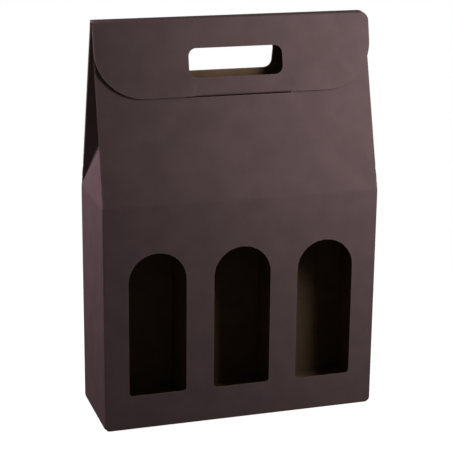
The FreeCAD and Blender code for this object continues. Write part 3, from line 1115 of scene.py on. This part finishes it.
    def add_bottom(self, grid: Grid, sections: list[slice]) -> None:
        """Fold the four bottom flaps in from the walls' lowest line.

        The front and back flaps meet at a seam that steps back in the middle, where the front
        one hooks over, and the side walls' flaps lie on top of them.

        Args:
            grid: The walls and the gable.
            sections: Its columns in each of the eight sections round the box.
        """
        half_hook = self.hook_width / 2.0
        half_gap = self.seam_gap / 2.0
        for k, inward in ((0, (0.0, 1.0)), (2, (-1.0, 0.0)), (4, (0.0, -1.0)), (6, (1.0, 0.0))):
            line = grid.points[0, sections[k]]
            if k in (0, 4):
                seam = np.clip(half_hook - np.abs(line[:, 0]), 0.0, self.hook_reach)
                reach = np.abs(seam - half_gap * inward[1] - line[:, 1])
            else:
                reach = np.full(len(line), self.form.mid_x - self.inner_flap_end)
            self.add_bottom_flap(grid.numbers[0, sections[k]], line,
                                 grid.chart[0, sections[k]], np.array([*inward, 0.0]), reach)

    def add_bottom_flap(self, numbers: np.ndarray, line: np.ndarray, chart: np.ndarray,
                        inward: np.ndarray, reach: np.ndarray) -> None:
        """Add one bottom flap.

        From the wall's lowest line it turns through a quarter circle, at
        r (1 - cos a) inwards and r sin a down, and then runs level to its end. Its sides
        are cut back a little past the fold.

        Args:
            numbers: Point numbers of the wall's lowest line.
            line: Those points.
            chart: Their places on the flat sheet.
            inward: Level direction into the box.
            reach: How far each line of the flap goes in.
        """
        radius = self.form.board.fold_radius
        sideways = np.abs(inward[[1, 0, 2]])
        level = np.linspace(0.0, 1.0, self.flap_rows + 1)[1:] ** self.flap_crowding
        bend = np.outer(radius * (1.0 - np.cos(FOLD_TURN)), np.ones_like(reach))
        inside = np.concatenate([bend, radius + np.outer(level, reach - radius)])
        below = np.concatenate([radius * np.sin(FOLD_TURN), np.full(len(level), radius)])
        place = line @ sideways
        relief = self.flap_relief * smooth_step(inside / self.relief_run)
        slide = -relief * place / np.abs(place).max()
        points = (line + inside[..., None] * inward + slide[..., None] * sideways
                  - below[:, None, None] * np.array([0.0, 0.0, 1.0]))
        depth = np.concatenate([radius * FOLD_TURN, np.zeros(len(level))])[:, None]
        travelled = np.maximum(depth, inside + (math.pi / 2.0 - 1.0) * radius
                               * (below >= radius)[:, None])
        fresh = self.sheet.add_points(points)
        rows = np.concatenate([fresh[::-1], numbers[None]])
        maps = chart[None] - travelled[..., None] * np.array([0.0, 1.0])
        self.sheet.add_faces(rows, np.concatenate([maps[::-1], chart[None]]))

    def add_glue_tab(self) -> None:
        """Lay the glue tab inside the back wall, beside the right-hand corner."""
        form = self.form
        inner_x = form.mid_x - form.board.half - self.tab_side_gap
        y = form.mid_y - form.board.thickness - self.glue_gap
        low = 2.0 * form.board.thickness + self.tab_inset
        across = np.linspace(inner_x, inner_x - self.tab_width, self.tab_columns)
        up = np.linspace(low, form.shoulder_z - self.tab_inset, self.tab_rows)
        slant = self.tab_inset * smooth_step((inner_x - across) / self.tab_width)
        share = (up - low) / (up[-1] - low)
        z = up[:, None] + slant * (1.0 - 2.0 * share[:, None])
        self.sheet.add_grid(gathered(across, y, z), gathered(-across, z))

    def add_creases(self) -> None:
        """Note the sheet's creases, a wide bend at the shoulder, and the bottom's dents."""
        form, board = self.form, self.form.board
        _, corners, tops = self.crease_ends()
        for corner, top in zip(corners, tops):
            self.sheet.add_crease(corner, top, board.fold_reach, board.fold_worn)
        x, y, z = form.mid_x, form.mid_y, form.shoulder_z
        low = board.half
        for start, end in (((-x, -y), (x, -y)), ((x, -y), (x, y)),
                           ((x, y), (-x, y)), ((-x, y), (-x, -y))):
            self.sheet.add_crease((*start, z), (*end, z), board.bend_reach, self.shoulder_worn)
            self.sheet.add_crease((*start, low), (*end, low), 0.0, self.foot_worn)
            self.sheet.add_crease((*start, low), (*start, z), 0.0, board.fold_worn)
            inward = -np.sign(start)
            push = (*(self.dent_depth * inward), self.dent_depth)
            self.sheet.add_dent((*start, low), push, self.dent_reach)


@dataclass
class Lid:
    """The ridge strip, the flap with the handle hole, and the tongue drawn in below it."""

    form: Form
    ridge_depth: float = 11.0 * MM
    ridge_drop: float = 1.0 * MM
    flap_corner: float = 45.0 * MM
    tongue_reach: float = 8.0 * MM
    tongue_corner: float = 6.0 * MM
    tongue_lines: int = 2
    strip_gap: float = 0.35 * MM
    strip_top_gap: float = 1.2 * MM
    strip_left_blend: float = 3.0 * MM
    strip_right_blend: float = 9.0 * MM
    crease_stub: float = 1.0 * MM
    stub_steps: tuple[float, ...] = (0.35, 0.7, 1.0)
    left_blunt: float = 2.2 * MM
    right_blunt: float = 7.2 * MM
    fold_soften: float = 0.04
    column_gap: float = 3.4 * MM
    facet_clearance: float = 0.6        # of that gap, from an even line to a facet's lines
    corner_lines: int = 22
    facet_lines: tuple[int, int] = (5, 7)
    handle_cell: float = 7.0 * MM
    handle_steps: tuple[float, float] = (3, 3)
    ridge_worn: float = 0.25
    tongue_worn: float = 0.2
    flap_rows: int = 32
    ridge_rows: int = 4
    bend_half: float = 1.2 * MM
    sheet: Sheet = field(init=False)
    crease_sheet: Sheet = field(init=False)

    def __post_init__(self) -> None:
        """Work out the flap's plane and where the drawn-in strip ends."""
        form = self.form
        self.sheet = Sheet(form.board)
        self.crease_sheet = Sheet(form.board)
        self.half_width = form.width / 2.0 - form.taper
        self.front = front_gable(form)
        end = self.front.place(0.0, self.front.up_to(form.top_z - form.flap_drop),
                               form.board.thickness + form.flap_standoff)
        crease = np.array([0.0, form.hinge_y - self.ridge_depth, form.hinge_z - self.ridge_drop])
        self.flap = Panel(tuple(crease), (1.0, 0.0, 0.0), tuple(crease - end))
        self.length = float(np.linalg.norm(crease - end))
        self.strip_top = self.flap.up_to(form.handle_low_z) - self.strip_top_gap
        self.root_v = self.front.up_to(form.top_z - form.tongue_drop)
        self.root_out = form.board.thickness + self.strip_gap
        root = self.front.place(0.0, self.root_v, self.root_out) - self.flap.origin
        self.strip_end = float(root @ self.flap.up)
        self.draw_in = -float(root @ self.flap.out)

    def strip_share(self, x: np.ndarray, ramp: np.ndarray | float) -> np.ndarray:
        """The least of three planes: the strip's own fall and its two side facets' falls.

        Args:
            x: Places along the flap.
            ramp: The strip's own share of its fall there.

        Returns:
            The share that the board has fallen, negative outside the strip.
        """
        left, right = self.form.tongue_ends
        return np.minimum(ramp, np.minimum(ramp + (x - left) / self.strip_left_blend,
                                           ramp + (right - x) / self.strip_right_blend))

    def depth(self, x: np.ndarray, v: np.ndarray) -> np.ndarray:
        """How far the flap is drawn in at a place.

        The strip falls evenly from its top crease to its end, and a folded facet on each side
        brings the board back to the flap. Where the planes meet, the fold is rounded by
        (a + sqrt(a^2 + k^2)) / 2, less what that gives far outside the strip.

        Args:
            x: Places along the flap.
            v: Places up it, negative below the ridge's front crease.

        Returns:
            Depths behind the flap's plane.
        """
        ramp = (self.strip_top - v) / (self.strip_top - self.strip_end)
        least = self.strip_share(x, ramp)
        return self.draw_in * (least + np.sqrt(least ** 2 + self.fold_soften ** 2)) / 2.0

    def place(self, x: np.ndarray, v: np.ndarray) -> np.ndarray:
        """Points of the flap, with the strip drawn in."""
        return self.flap.place(x, v, -self.depth(x, v))

    def low_edge(self, x: np.ndarray) -> np.ndarray:
        """Where the flap's lower edge lies: level, with a quarter circle at each corner.

        The strip between them ends a little higher.

        Args:
            x: Places along the flap.

        Returns:
            Places up the flap, all negative.
        """
        past = np.clip(np.abs(x) - (self.half_width - self.flap_corner), 0.0, self.flap_corner)
        level = -self.length + self.flap_corner - np.sqrt(self.flap_corner ** 2 - past ** 2)
        dip = np.clip(self.strip_share(x, 1.0), 0.0, 1.0)
        return level + dip * (self.strip_end + self.length)

    def columns(self) -> np.ndarray:
        """Places of the upright lines: even ones, closer at the strip's sides and corners.

        In the corners they stand at even angles of the quarter circle.

        Returns:
            Places along the flap, from left to right.
        """
        left, right = self.form.tongue_ends
        start = self.half_width - self.flap_corner
        angle = np.linspace(0.0, math.pi / 2.0, self.corner_lines + 1)[1:]
        corner = start + self.flap_corner * np.sin(angle)
        middle = np.linspace(-start, start, int(2.0 * start / self.column_gap) + 1)
        facets = [np.linspace(left - self.strip_left_blend, left, self.facet_lines[0]),
                  np.linspace(right, right + self.strip_right_blend, self.facet_lines[1])]
        crowded = np.zeros(len(middle), bool)
        near = self.facet_clearance * self.column_gap
        for part in facets:
            crowded |= (middle > part[0] - near) & (middle < part[-1] + near)
        return np.sort(np.concatenate([-corner, middle[~crowded], *facets, corner]))

    def build(self, finishes: list[bpy.types.Material]) -> bpy.types.Object:
        """Build the lid as one sheet, from the flap's lower edge up and back to the crease.

        Args:
            finishes: Materials of the outside, the inside and the cut edges.

        Returns:
            The piece, in place.
        """
        x = self.columns()
        v = (1.0 - spread(self.length, self.flap_rows)[:, None]) * self.low_edge(x)
        across = np.broadcast_to(x, v.shape)
        points = self.place(across, v)
        grid = Grid(self.sheet.add_points(points), points, gathered(across, v))
        self.cut_handle(grid)
        self.sheet.add_faces(grid.numbers, grid.chart, grid.keep)
        section = self.add_section(self.sheet, 0, self.ridge_rows // 2 + 1, grid.numbers[-1])
        self.sheet.seam = section[-1]
        self.add_tongue(grid.numbers[0], x)
        self.add_creases()
        return self.sheet.finish("lid_shell", finishes)

    def cut_handle(self, grid: Grid) -> None:
        """Cut the handle hole, a rectangle with round corners.

        Args:
            grid: The flap, whose places on the flat sheet are its flat coordinates too.
        """
        form, around = self.form, self.handle_cell
        half = form.handle_width / 2.0
        low = self.flap.up_to(form.handle_low_z)
        high = self.flap.up_to(form.handle_low_z + form.handle_height)
        cell = cell_around(grid.chart[:, grid.chart.shape[1] // 2, 1], grid.chart[0, :, 0],
                           (-half - around, half + around, low - around, high + around))
        self.sheet.cut_hole(grid, cell, grid.chart,
                            rectangle(-half, half, low, high, form.handle_corner),
                            [self.handle_steps] * 4, self.place)

    def ridge_path(self) -> np.ndarray:
        """The ridge's section: back from the flap's top to the crease, and down a short stub.

        Returns:
            Its points, all in the lid's middle.
        """
        crease = np.array([0.0, self.form.hinge_y, self.form.hinge_z])
        share = spread(self.ridge_depth, self.ridge_rows)[:, None]
        steps = np.array(self.stub_steps)[:, None]
        stub = self.crease_stub * steps * back_gable(self.form).up
        return np.concatenate([self.flap.origin + share * (crease - self.flap.origin),
                               crease - stub])

    def add_section(self, sheet: Sheet, first: int, last: int,
                    start: np.ndarray | None = None) -> np.ndarray:
        """Lay part of the ridge's section across the lid's whole width.

        Args:
            sheet: Where it goes.
            first: Number of the section's first line.
            last: Number after its last line.
            start: Numbers of the points that already stand at the first line.

        Returns:
            Point numbers, line by line.
        """
        path, x = self.ridge_path(), self.columns()
        points = gathered(x, path[:, 1:2], path[:, 2:3])
        chart = gathered(x, run_along(path)[:, None])
        if start is None:
            numbers = sheet.add_points(points[first:last])
        else:
            numbers = np.concatenate([start[None], sheet.add_points(points[first + 1:last])])
        sheet.add_faces(numbers, chart[first:last])
        return numbers

    def build_crease(self, finishes: list[bpy.types.Material]) -> bpy.types.Object:
        """Build the board at the back crease, between the two bodies.

        Args:
            finishes: Materials of the outside, the inside and the cut edges.

        Returns:
            The piece, in place.
        """
        form, middle = self.form, self.ridge_rows // 2
        sheet = self.crease_sheet
        sheet.seam = self.add_section(sheet, middle, len(self.ridge_path()))[0]
        hinge = (form.hinge_y, form.hinge_z)
        sheet.add_crease((-self.half_width, *hinge), (self.half_width, *hinge),
                         form.board.fold_reach, form.board.fold_worn)
        piece = sheet.finish("lid_crease", finishes)
        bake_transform(piece)
        return piece

    def add_tongue(self, numbers: np.ndarray, x: np.ndarray) -> None:
        """Turn the tongue in from the strip's end, square to the front panel.

        Its two free corners are cut off by narrowing its last lines evenly.

        Args:
            numbers: Point numbers of the flap's lower edge.
            x: Places of those points along the flap.
        """
        left, right = self.form.tongue_ends
        chosen = (x > left - SPECK) & (x < right + SPECK)
        x = x[chosen]
        edge = self.low_edge(x)
        end = self.root_out + self.tongue_reach - self.form.board.half
        inward = spread(end, self.tongue_lines)[1:, None] * end
        half = self.form.tongue_width / 2.0
        narrowed = half - np.clip(inward - (end - self.tongue_corner), 0.0, self.tongue_corner)
        middle = self.form.tongue_shift
        points = self.place(x, edge) - inward[..., None] * self.front.out
        points[..., 0] = middle + (x - middle) * narrowed / half
        fresh = self.sheet.add_points(points)
        chart = gathered(x, self.strip_end - inward)
        self.sheet.add_faces(np.concatenate([fresh[::-1], numbers[chosen][None]]),
                             np.concatenate([chart[::-1], gathered(x, edge)[None]]))

    def add_creases(self) -> None:
        """Note the creases beside the ridge and at the tongue."""
        half, reach = self.half_width, self.form.board.fold_reach
        left, right = self.form.tongue_ends
        front = tuple(self.flap.origin[1:])
        self.sheet.add_crease((-half, *front), (half, *front), reach, self.ridge_worn)
        ends = self.flap.place(np.array([left, right]), self.strip_end, -self.draw_in)
        self.sheet.add_crease(ends[0], ends[1], reach, self.tongue_worn)

    def blunt_ends(self) -> list[Dent]:
        """The ridge's blunted ends, the right one more, which the back panel's top shares.

        Returns:
            The left and the right end's dent.
        """
        hinge = np.array([0.0, self.form.hinge_y, self.form.hinge_z])
        ends = []
        for side, reach in ((-1.0, self.left_blunt), (1.0, self.right_blunt)):
            out = np.array([side * self.half_width, 0.0, 0.0])
            push = ROUND_PUSH * reach * np.array([-side, 0.0, -1.0])
            ends.append(Dent(self.flap.origin + out, hinge + out, push, reach))
        return ends


@dataclass
class Divider:
    """One folded sheet that stands inside: two partitions joined along the back wall."""

    form: Form
    cell_count: int = 3
    height: float = 195.0 * MM
    wall_gap: float = 0.5 * MM
    slope: float = 20.0 * MM
    floor_gap: float = 0.05 * MM
    rows: int = 26
    lines: int = 14
    sheet: Sheet = field(init=False)

    def __post_init__(self) -> None:
        """Start the sheet."""
        self.sheet = Sheet(self.form.board)

    def build(self, finishes: list[bpy.types.Material]) -> bpy.types.Object:
        """Carry an upright line along the plan of the folded sheet.

        The plan runs from the front along the left partition, across the back and forwards
        again. The lines' height falls towards the front ends at the slope's rate.

        Args:
            finishes: Materials of the two faces and the cut edges.

        Returns:
            The piece, in place.
        """
        board = self.form.board
        inner_x = self.form.mid_x - board.half
        inner_y = self.form.mid_y - board.half
        cell = (2.0 * inner_x - (self.cell_count - 1) * board.thickness) / self.cell_count
        side = cell / 2.0 + board.half
        back = inner_y - self.wall_gap - board.half
        front = -inner_y + self.wall_gap
        corners = np.array([(-side, front), (-side, back), (side, back), (side, front)])
        lengths = np.linalg.norm(np.diff(corners, axis=0), axis=1)
        shares = spread(lengths, self.lines)
        plan = between(corners[:-1], corners[1:], shares)[:, :-1].reshape(-1, 2)
        plan = np.concatenate([plan, corners[-1:]])
        fall = np.clip(self.slope - (plan[:, 1] - front), 0.0, self.slope)
        low = board.thickness + self.floor_gap
        z = low + spread(self.height, self.rows)[:, None] * (self.height - fall)
        self.sheet.add_grid(gathered(plan[:, 0], plan[:, 1], z), gathered(run_along(plan), z))
        for x in (-side, side):
            self.sheet.add_crease((x, back, low), (x, back, low + self.height),
                                  board.fold_reach, board.fold_worn)
        return self.sheet.finish("divider_shell", finishes)


def linear(code: str) -> tuple[float, float, float, float]:
    """Turn a six-figure sRGB colour into linear light, with an alpha of 1.

    Args:
        code: The colour's six hexadecimal figures.

    Returns:
        Red, green, blue and alpha.
    """
    shares = np.array([int(code[k:k + 2], 16) for k in (0, 2, 4)]) / 255.0
    light = np.where(shares <= 0.04045, shares / 12.92, ((shares + 0.055) / 1.055) ** 2.4)
    return (*light.tolist(), 1.0)


class Nodes:
    """Adds nodes to a new material or world."""

    def __init__(self, owner: bpy.types.Material | bpy.types.World) -> None:
        """Empty the owner's tree.

        Args:
            owner: The material or world.
        """
        owner.use_nodes = True
        self.tree = owner.node_tree
        self.tree.nodes.clear()

    def add(self, kind: str, *values: object, inputs: dict | None = None,
            **settings: object) -> bpy.types.Node:
        """Add a node.

        Args:
            kind: Its type, without the ShaderNode in front.
            values: What its first inputs hold or are linked to: a value, a socket, or a node,
                whose first socket in use is then meant.
            inputs: The same for other inputs, by name or number.
            settings: Its own options.

        Returns:
            The node.
        """
        node = self.tree.nodes.new("ShaderNode" + kind)
        for key, value in settings.items():
            setattr(node, key, value)
        for key, value in (dict(enumerate(values)) | (inputs or {})).items():
            if isinstance(value, bpy.types.Node):
                value = next(socket for socket in value.outputs if socket.enabled)
            if isinstance(value, bpy.types.NodeSocket):
                self.tree.links.new(value, node.inputs[key])
            else:
                node.inputs[key].default_value = value
        return node


@dataclass(frozen=True)
class PaperLiner:
    """A paper liner glued over the flutes.

    Paper is a felt of fibres, mostly along the machine direction. It gives the eye a matt
    colour with faint clouds, fine fibre flecks, the flutes' trace as a very shallow washboard,
    paler worn lines where it is creased, and a paler line along its cut edges that is part wear
    and part painted highlight of the edge catching light. Each range is where a noise or a wear
    value starts to show and where it shows fully.
    """

    name: str
    colour: str
    cloud: str
    fleck: str
    # colour of worn creases, also used for the cut edges' paler line, which is part wear and part
    # painted highlight
    worn: str
    fleck_share: float = 0.25
    worn_share: float = 0.6
    rim_wear_and_highlight_share: float = 0.2
    flute_pitch: float = 3.2 * MM
    washboard: float = 0.012 * MM
    felt: float = 0.03 * MM
    cloud_size: float = 22.0 * MM
    cloud_range: tuple[float, float] = (0.3, 0.7)
    fleck_width: float = 0.35 * MM
    fleck_range: tuple[float, float] = (0.52, 0.72)
    fibre_stretch: float = 7.0
    grain_width: float = 0.455 * MM
    scuff_size: float = 2.4 * MM
    scuff_range: tuple[float, float] = (0.32, 0.62)
    rim_wear_and_highlight_range: tuple[float, float] = (0.35, 1.0)
    roughness: float = 0.66
    grain_roughness: float = 0.12
    gloss: float = 0.0

    def make(self) -> bpy.types.Material:
        """Build the material.

        Clouds mix two colours, flecks a third, and creases and cut edges a fourth, broken up by
        noise; along the cut edges that paler colour is part wear and part painted highlight. The
        bump is a sine across the flutes plus the fibres' grain.

        Returns:
            The material.
        """
        material = bpy.data.materials.new(self.name)
        nodes = Nodes(material)
        place = nodes.add("TexCoord").outputs["Object"]
        sheet = nodes.add("UVMap", uv_map="Board")
        blots = nodes.add("TexNoise", place, inputs={"Scale": 1.0 / self.cloud_size, "Detail": 5.0})
        clouds = nodes.add("MapRange", blots, *self.cloud_range, interpolation_type="SMOOTHSTEP")
        # the fibres run across the flutes, so they are short upwards and long sideways
        laid = nodes.add("Mapping", sheet, inputs={"Scale": (1.0, self.fibre_stretch, 1.0)})
        fibre_length = self.fleck_width * self.fibre_stretch
        fibres = nodes.add("TexNoise", laid, inputs={"Scale": 1.0 / fibre_length, "Detail": 2.0})
        grain = nodes.add("TexNoise", place,
                          inputs={"Scale": 1.0 / self.grain_width, "Detail": 2.0})
        shown = nodes.add("MapRange", fibres, *self.fleck_range, interpolation_type="SMOOTHSTEP")
        flecks = nodes.add("Math", shown, self.fleck_share, operation="MULTIPLY")
        rubs = nodes.add("TexNoise", place, inputs={"Scale": 1.0 / self.scuff_size, "Detail": 4.0})
        scuffs = nodes.add("MapRange", rubs, *self.scuff_range, interpolation_type="SMOOTHSTEP")
        fold = nodes.add("Attribute", attribute_name="fold").outputs["Fac"]
        # a paler line along the cut edges: part wear, part painted highlight of the edge catching
        # light
        crease = nodes.add("Math", fold, scuffs, operation="MULTIPLY")
        edge = nodes.add("Attribute", attribute_name="edge").outputs["Fac"]
        near = nodes.add("MapRange", edge, *self.rim_wear_and_highlight_range, interpolation_type="SMOOTHSTEP")
        rim = nodes.add("Math", near, self.rim_wear_and_highlight_share, operation="MULTIPLY")
        most = nodes.add("Math", crease, rim, operation="MAXIMUM")
        wear = nodes.add("Math", most, self.worn_share, operation="MULTIPLY")
        tone = linear(self.colour)
        for share, code in ((clouds, self.cloud), (flecks, self.fleck), (wear, self.worn)):
            tone = nodes.add("Mix", share, inputs={6: tone, 7: linear(code)}, data_type="RGBA")
        turn = nodes.add("Math", nodes.add("SeparateXYZ", sheet), 2.0 * math.pi / self.flute_pitch,
                         operation="MULTIPLY")
        wave = nodes.add("Math", turn, operation="SINE")
        flutes = nodes.add("Math", wave, self.washboard / 2.0, operation="MULTIPLY")
        fibrous = nodes.add("Math", fibres, grain, operation="ADD")
        felt = nodes.add("Math", fibrous, self.felt, operation="MULTIPLY")
        height = nodes.add("Math", flutes, felt, operation="ADD")
        normal = nodes.add("Bump", inputs={"Height": height, "Distance": 1.0, "Strength": 1.0})
        uneven = nodes.add("Math", grain, self.grain_roughness, operation="MULTIPLY")
        rough = nodes.add("Math", uneven, self.roughness, operation="ADD")
        surface = nodes.add("BsdfPrincipled", tone, inputs={
            "Roughness": rough, "Specular IOR Level": self.gloss, "Normal": normal})
        nodes.add("OutputMaterial", surface)
        return material


@dataclass(frozen=True)
class CutBoard:
    """The board's cut edge: two liners and the wave of the flutes between them.

    Die cutting crushes it a little. The eye sees two thin lines with a snaking paper line
    between them and dark hollows, which become straight lines on upright edges; the hollows'
    dark colour is painted shade.
    """

    name: str
    outer: str
    inner: str
    # colour of the flutes' hollows: painted shade
    painted_hollow_shade: str
    board: Board = field(default_factory=Board)
    flute_pitch: float = 3.2 * MM
    liner: float = 0.24 * MM
    paper: float = 0.17 * MM
    paper_range: tuple[float, float] = (2.2, 1.2)       # half width of its line, in papers
    blur: float = 0.05 * MM
    fray_size: float = 0.5 * MM
    fray_depth: float = 0.15 * MM
    fray_range: tuple[float, float] = (0.5, 0.8)
    fray_share: float = 0.35
    roughness: float = 0.85
    gloss: float = 0.1

    def make(self) -> bpy.types.Material:
        """Build the material from the edge's own coordinates, along it and across it.

        The flutes' paper lies where the place across the board is near to
        a sin(2 pi s / pitch) at a place s along it.

        Returns:
            The material.
        """
        material = bpy.data.materials.new(self.name)
        nodes = Nodes(material)
        along, depth, _ = nodes.add("SeparateXYZ", nodes.add("UVMap", uv_map="Board")).outputs
        turn = nodes.add("Math", along, 2.0 * math.pi / self.flute_pitch, operation="MULTIPLY")
        wave = nodes.add("Math", turn, operation="SINE")
        inside = self.board.half - self.liner
        swing = nodes.add("Math", wave, inside, operation="MULTIPLY")
        away = nodes.add("Math", depth, swing, operation="SUBTRACT")
        gap = nodes.add("Math", away, operation="ABSOLUTE")
        # the wave is steep between its crests, where its paper looks wider from the side
        papers = (share * self.paper for share in self.paper_range)
        flute = nodes.add("MapRange", gap, *papers, interpolation_type="SMOOTHSTEP")
        # away from the flutes' paper, the hollows get painted shade
        core = nodes.add("Mix", flute, inputs={6: linear(self.painted_hollow_shade), 7: linear(self.inner)},
                         data_type="RGBA")
        outward = nodes.add("MapRange", depth, -self.blur, self.blur,
                            interpolation_type="SMOOTHSTEP")
        face = nodes.add("Mix", outward, inputs={6: linear(self.inner), 7: linear(self.outer)},
                         data_type="RGBA")
        from_middle = nodes.add("Math", depth, operation="ABSOLUTE")
        rim = nodes.add("MapRange", from_middle, inside - self.blur, inside + 0.6 * self.blur,
                        interpolation_type="SMOOTHSTEP")
        cut = nodes.add("Mix", rim, inputs={6: core, 7: face}, data_type="RGBA")
        place = nodes.add("TexCoord").outputs["Object"]
        fray = nodes.add("TexNoise", place, inputs={"Scale": 1.0 / self.fray_size, "Detail": 3.0})
        torn = nodes.add("MapRange", fray, *self.fray_range, interpolation_type="SMOOTHSTEP")
        share = nodes.add("Math", torn, self.fray_share, operation="MULTIPLY")
        tone = nodes.add("Mix", share, inputs={6: cut, 7: linear(self.inner)}, data_type="RGBA")
        normal = nodes.add("Bump", inputs={"Height": fray, "Distance": self.fray_depth})
        surface = nodes.add("BsdfPrincipled", tone, inputs={
            "Roughness": self.roughness, "Specular IOR Level": self.gloss, "Normal": normal})
        nodes.add("OutputMaterial", surface)
        return material


@dataclass(frozen=True)
class Viewpoint:
    """The photograph's camera: left of the front and above the box, on a long lens."""

    place: tuple[float, float, float] = (-425.5 * MM, -1331.6 * MM, 595.5 * MM)
    yaw: float = math.radians(17.606)
    pitch: float = math.radians(-16.531)
    roll: float = math.radians(0.603)
    lens_mm: float = 120.24
    sensor_mm: float = 36.0

    def build(self) -> None:
        """Place the camera, looking along its yaw and pitch and turned by its roll."""
        ahead = np.array([math.sin(self.yaw) * math.cos(self.pitch),
                          math.cos(self.yaw) * math.cos(self.pitch), math.sin(self.pitch)])
        level = np.array([math.cos(self.yaw), -math.sin(self.yaw), 0.0])
        upright = np.cross(level, ahead)
        right = math.cos(self.roll) * level + math.sin(self.roll) * upright
        up = math.cos(self.roll) * upright - math.sin(self.roll) * level
        data = bpy.data.cameras.new("camera")
        data.lens = self.lens_mm
        data.sensor_width = self.sensor_mm
        camera = bpy.data.objects.new("camera", data)
        turn = Matrix(np.stack([right, up, -ahead], axis=1).tolist()).to_4x4()
        camera.matrix_world = Matrix.Translation(self.place) @ turn
        bpy.context.scene.collection.objects.link(camera)
        bpy.context.scene.camera = camera


@dataclass(frozen=True)
class Lamp:
    """A soft rectangular lamp that looks at a point."""

    name: str
    place: tuple[float, float, float]
    target: tuple[float, float, float]
    power: float
    size: float
    colour: str = "FFFFFF"

    def build(self) -> None:
        """Put the lamp in the scene."""
        data = bpy.data.lights.new(self.name, "AREA")
        data.energy = self.power
        data.color = linear(self.colour)[:3]
        data.size = self.size
        lamp = bpy.data.objects.new(self.name, data)
        look = Vector(self.target) - Vector(self.place)
        turn = look.to_track_quat("-Z", "Y").to_matrix().to_4x4()
        lamp.matrix_world = Matrix.Translation(self.place) @ turn
        bpy.context.scene.collection.objects.link(lamp)


@dataclass(frozen=True)
class Studio:
    """A white room: a key lamp near the right front corner, a fill on the left, a pale floor."""

    lamps: tuple[Lamp, ...] = (
        Lamp("key", (0.22, -0.435, 0.46), (0.46, -0.04, 0.45), 4.9, 0.26),
        Lamp("top", (0.5, -0.58, 0.86), (0.12, -0.02, 0.33), 1.2, 0.3),
        Lamp("fill", (-0.44, 0.115, 0.49), (-0.135, 0.0, 0.23), 3.3, 0.2, "FCF2FF"),
    )
    ambient: float = 0.18
    floor_half: float = 9.0
    floor_drop: float = 0.4 * MM
    floor_glow: float = 0.92
    floor_tone: float = 0.22
    glow_start: float = 0.18
    glow_end: float = 0.7

    def build(self) -> None:
        """Build the lamps, the world and the floor."""
        for lamp in self.lamps:
            lamp.build()
        self.build_world()
        self.build_floor()

    def seen(self, nodes: Nodes) -> bpy.types.Node:
        """1 for rays from the camera and for mirrored or transmitted ones, 0 for others.

        Args:
            nodes: Where it is worked out.

        Returns:
            The node that gives it.
        """
        rays = nodes.add("LightPath").outputs
        shown = nodes.add("Math", rays["Is Camera Ray"], rays["Is Glossy Ray"],
                          operation="MAXIMUM")
        return nodes.add("Math", shown, rays["Is Transmission Ray"], operation="MAXIMUM")

    def build_world(self) -> None:
        """White to the camera and in reflections, and a weak even light for the rest."""
        world = bpy.data.worlds.new("studio")
        nodes = Nodes(world)
        strength = nodes.add("MapRange", self.seen(nodes), inputs={"To Min": self.ambient})
        nodes.add("OutputWorld", nodes.add("Background", WHITE, strength))
        bpy.context.scene.world = world

    def build_floor(self) -> None:
        """A wide floor, white to the camera except where the box shades it."""
        paper = bpy.data.materials.new("floor_paper")
        nodes = Nodes(paper)
        place = nodes.add("TexCoord").outputs["Object"]
        distance = nodes.add("VectorMath", place, operation="LENGTH").outputs["Value"]
        far = nodes.add("MapRange", distance, self.glow_start, self.glow_end,
                        interpolation_type="SMOOTHSTEP")
        lit = nodes.add("BsdfDiffuse", (self.floor_tone, self.floor_tone, self.floor_tone, 1.0))
        near = nodes.add("AddShader", lit, nodes.add("Emission", WHITE, self.floor_glow))
        shown = nodes.add("MixShader", far, near, nodes.add("Emission", WHITE, 1.0))
        nodes.add("OutputMaterial", nodes.add("MixShader", self.seen(nodes), lit, shown))
        corners = np.array([(-1.0, -1.0), (1.0, -1.0), (1.0, 1.0), (-1.0, 1.0)])
        points = np.column_stack([corners * self.floor_half, np.full(4, -self.floor_drop)])
        mesh = mesh_from("floor", points, np.array([[0, 1, 2, 3]]))
        mesh.materials.append(paper)
        put_in_scene("floor", mesh)


def dress(form: Form) -> None:
    """Build the three folded sheets in place of the plain solids.

    Args:
        form: The sizes that they share.
    """
    # each liner's last colour is for its worn creases and for the cut edges' paler line, which is
    # part painted highlight
    outside = PaperLiner("dark liner, matt print varnish", "504142", "4B3D3E", "5A4A4A",
                         "6E5C59").make()
    inside = PaperLiner("kraft liner", "614E3C", "584636", "6F5B47", "826D57",
                        fleck_share=0.5, worn_share=0.35).make()
    # a cut edge's third colour is painted shade in the flutes' hollows
    cut_dark = CutBoard("cut edge, dark liner", "4E4040", "5E4E44", "2A221F").make()
    cut_kraft = CutBoard("cut edge, kraft liners", "7D6751", "7D6751", "2A211B").make()
    carton, lid = Carton(form), Lid(form)
    for sheet in (carton.sheet, lid.sheet, lid.crease_sheet):
        sheet.dents.extend(lid.blunt_ends())
    lid.build_crease([outside, inside, cut_dark])
    pieces = (
        (carton.build([outside, inside, cut_dark]), "carton", "carton", "board_dark"),
        (lid.build([outside, inside, cut_dark]), "lid", "lid", "board_dark"),
        (Divider(form).build([inside, inside, cut_kraft]), "divider", "carton", "board_kraft"),
    )
    for piece, node, body, slot in pieces:
        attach(piece, body)
        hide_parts(node)


def main() -> None:
    """Dress the frame, and set the studio, the camera and the view transform up."""
    logging.basicConfig(level=logging.INFO, format="%(name)s: %(message)s")
    dress(Form.from_frame(frame))
    Studio().build()
    Viewpoint().build()
    scene = bpy.context.scene
    scene.view_settings.view_transform = "Standard"
    bpy.context.view_layer.update()


if __name__ == "__main__":
    main()
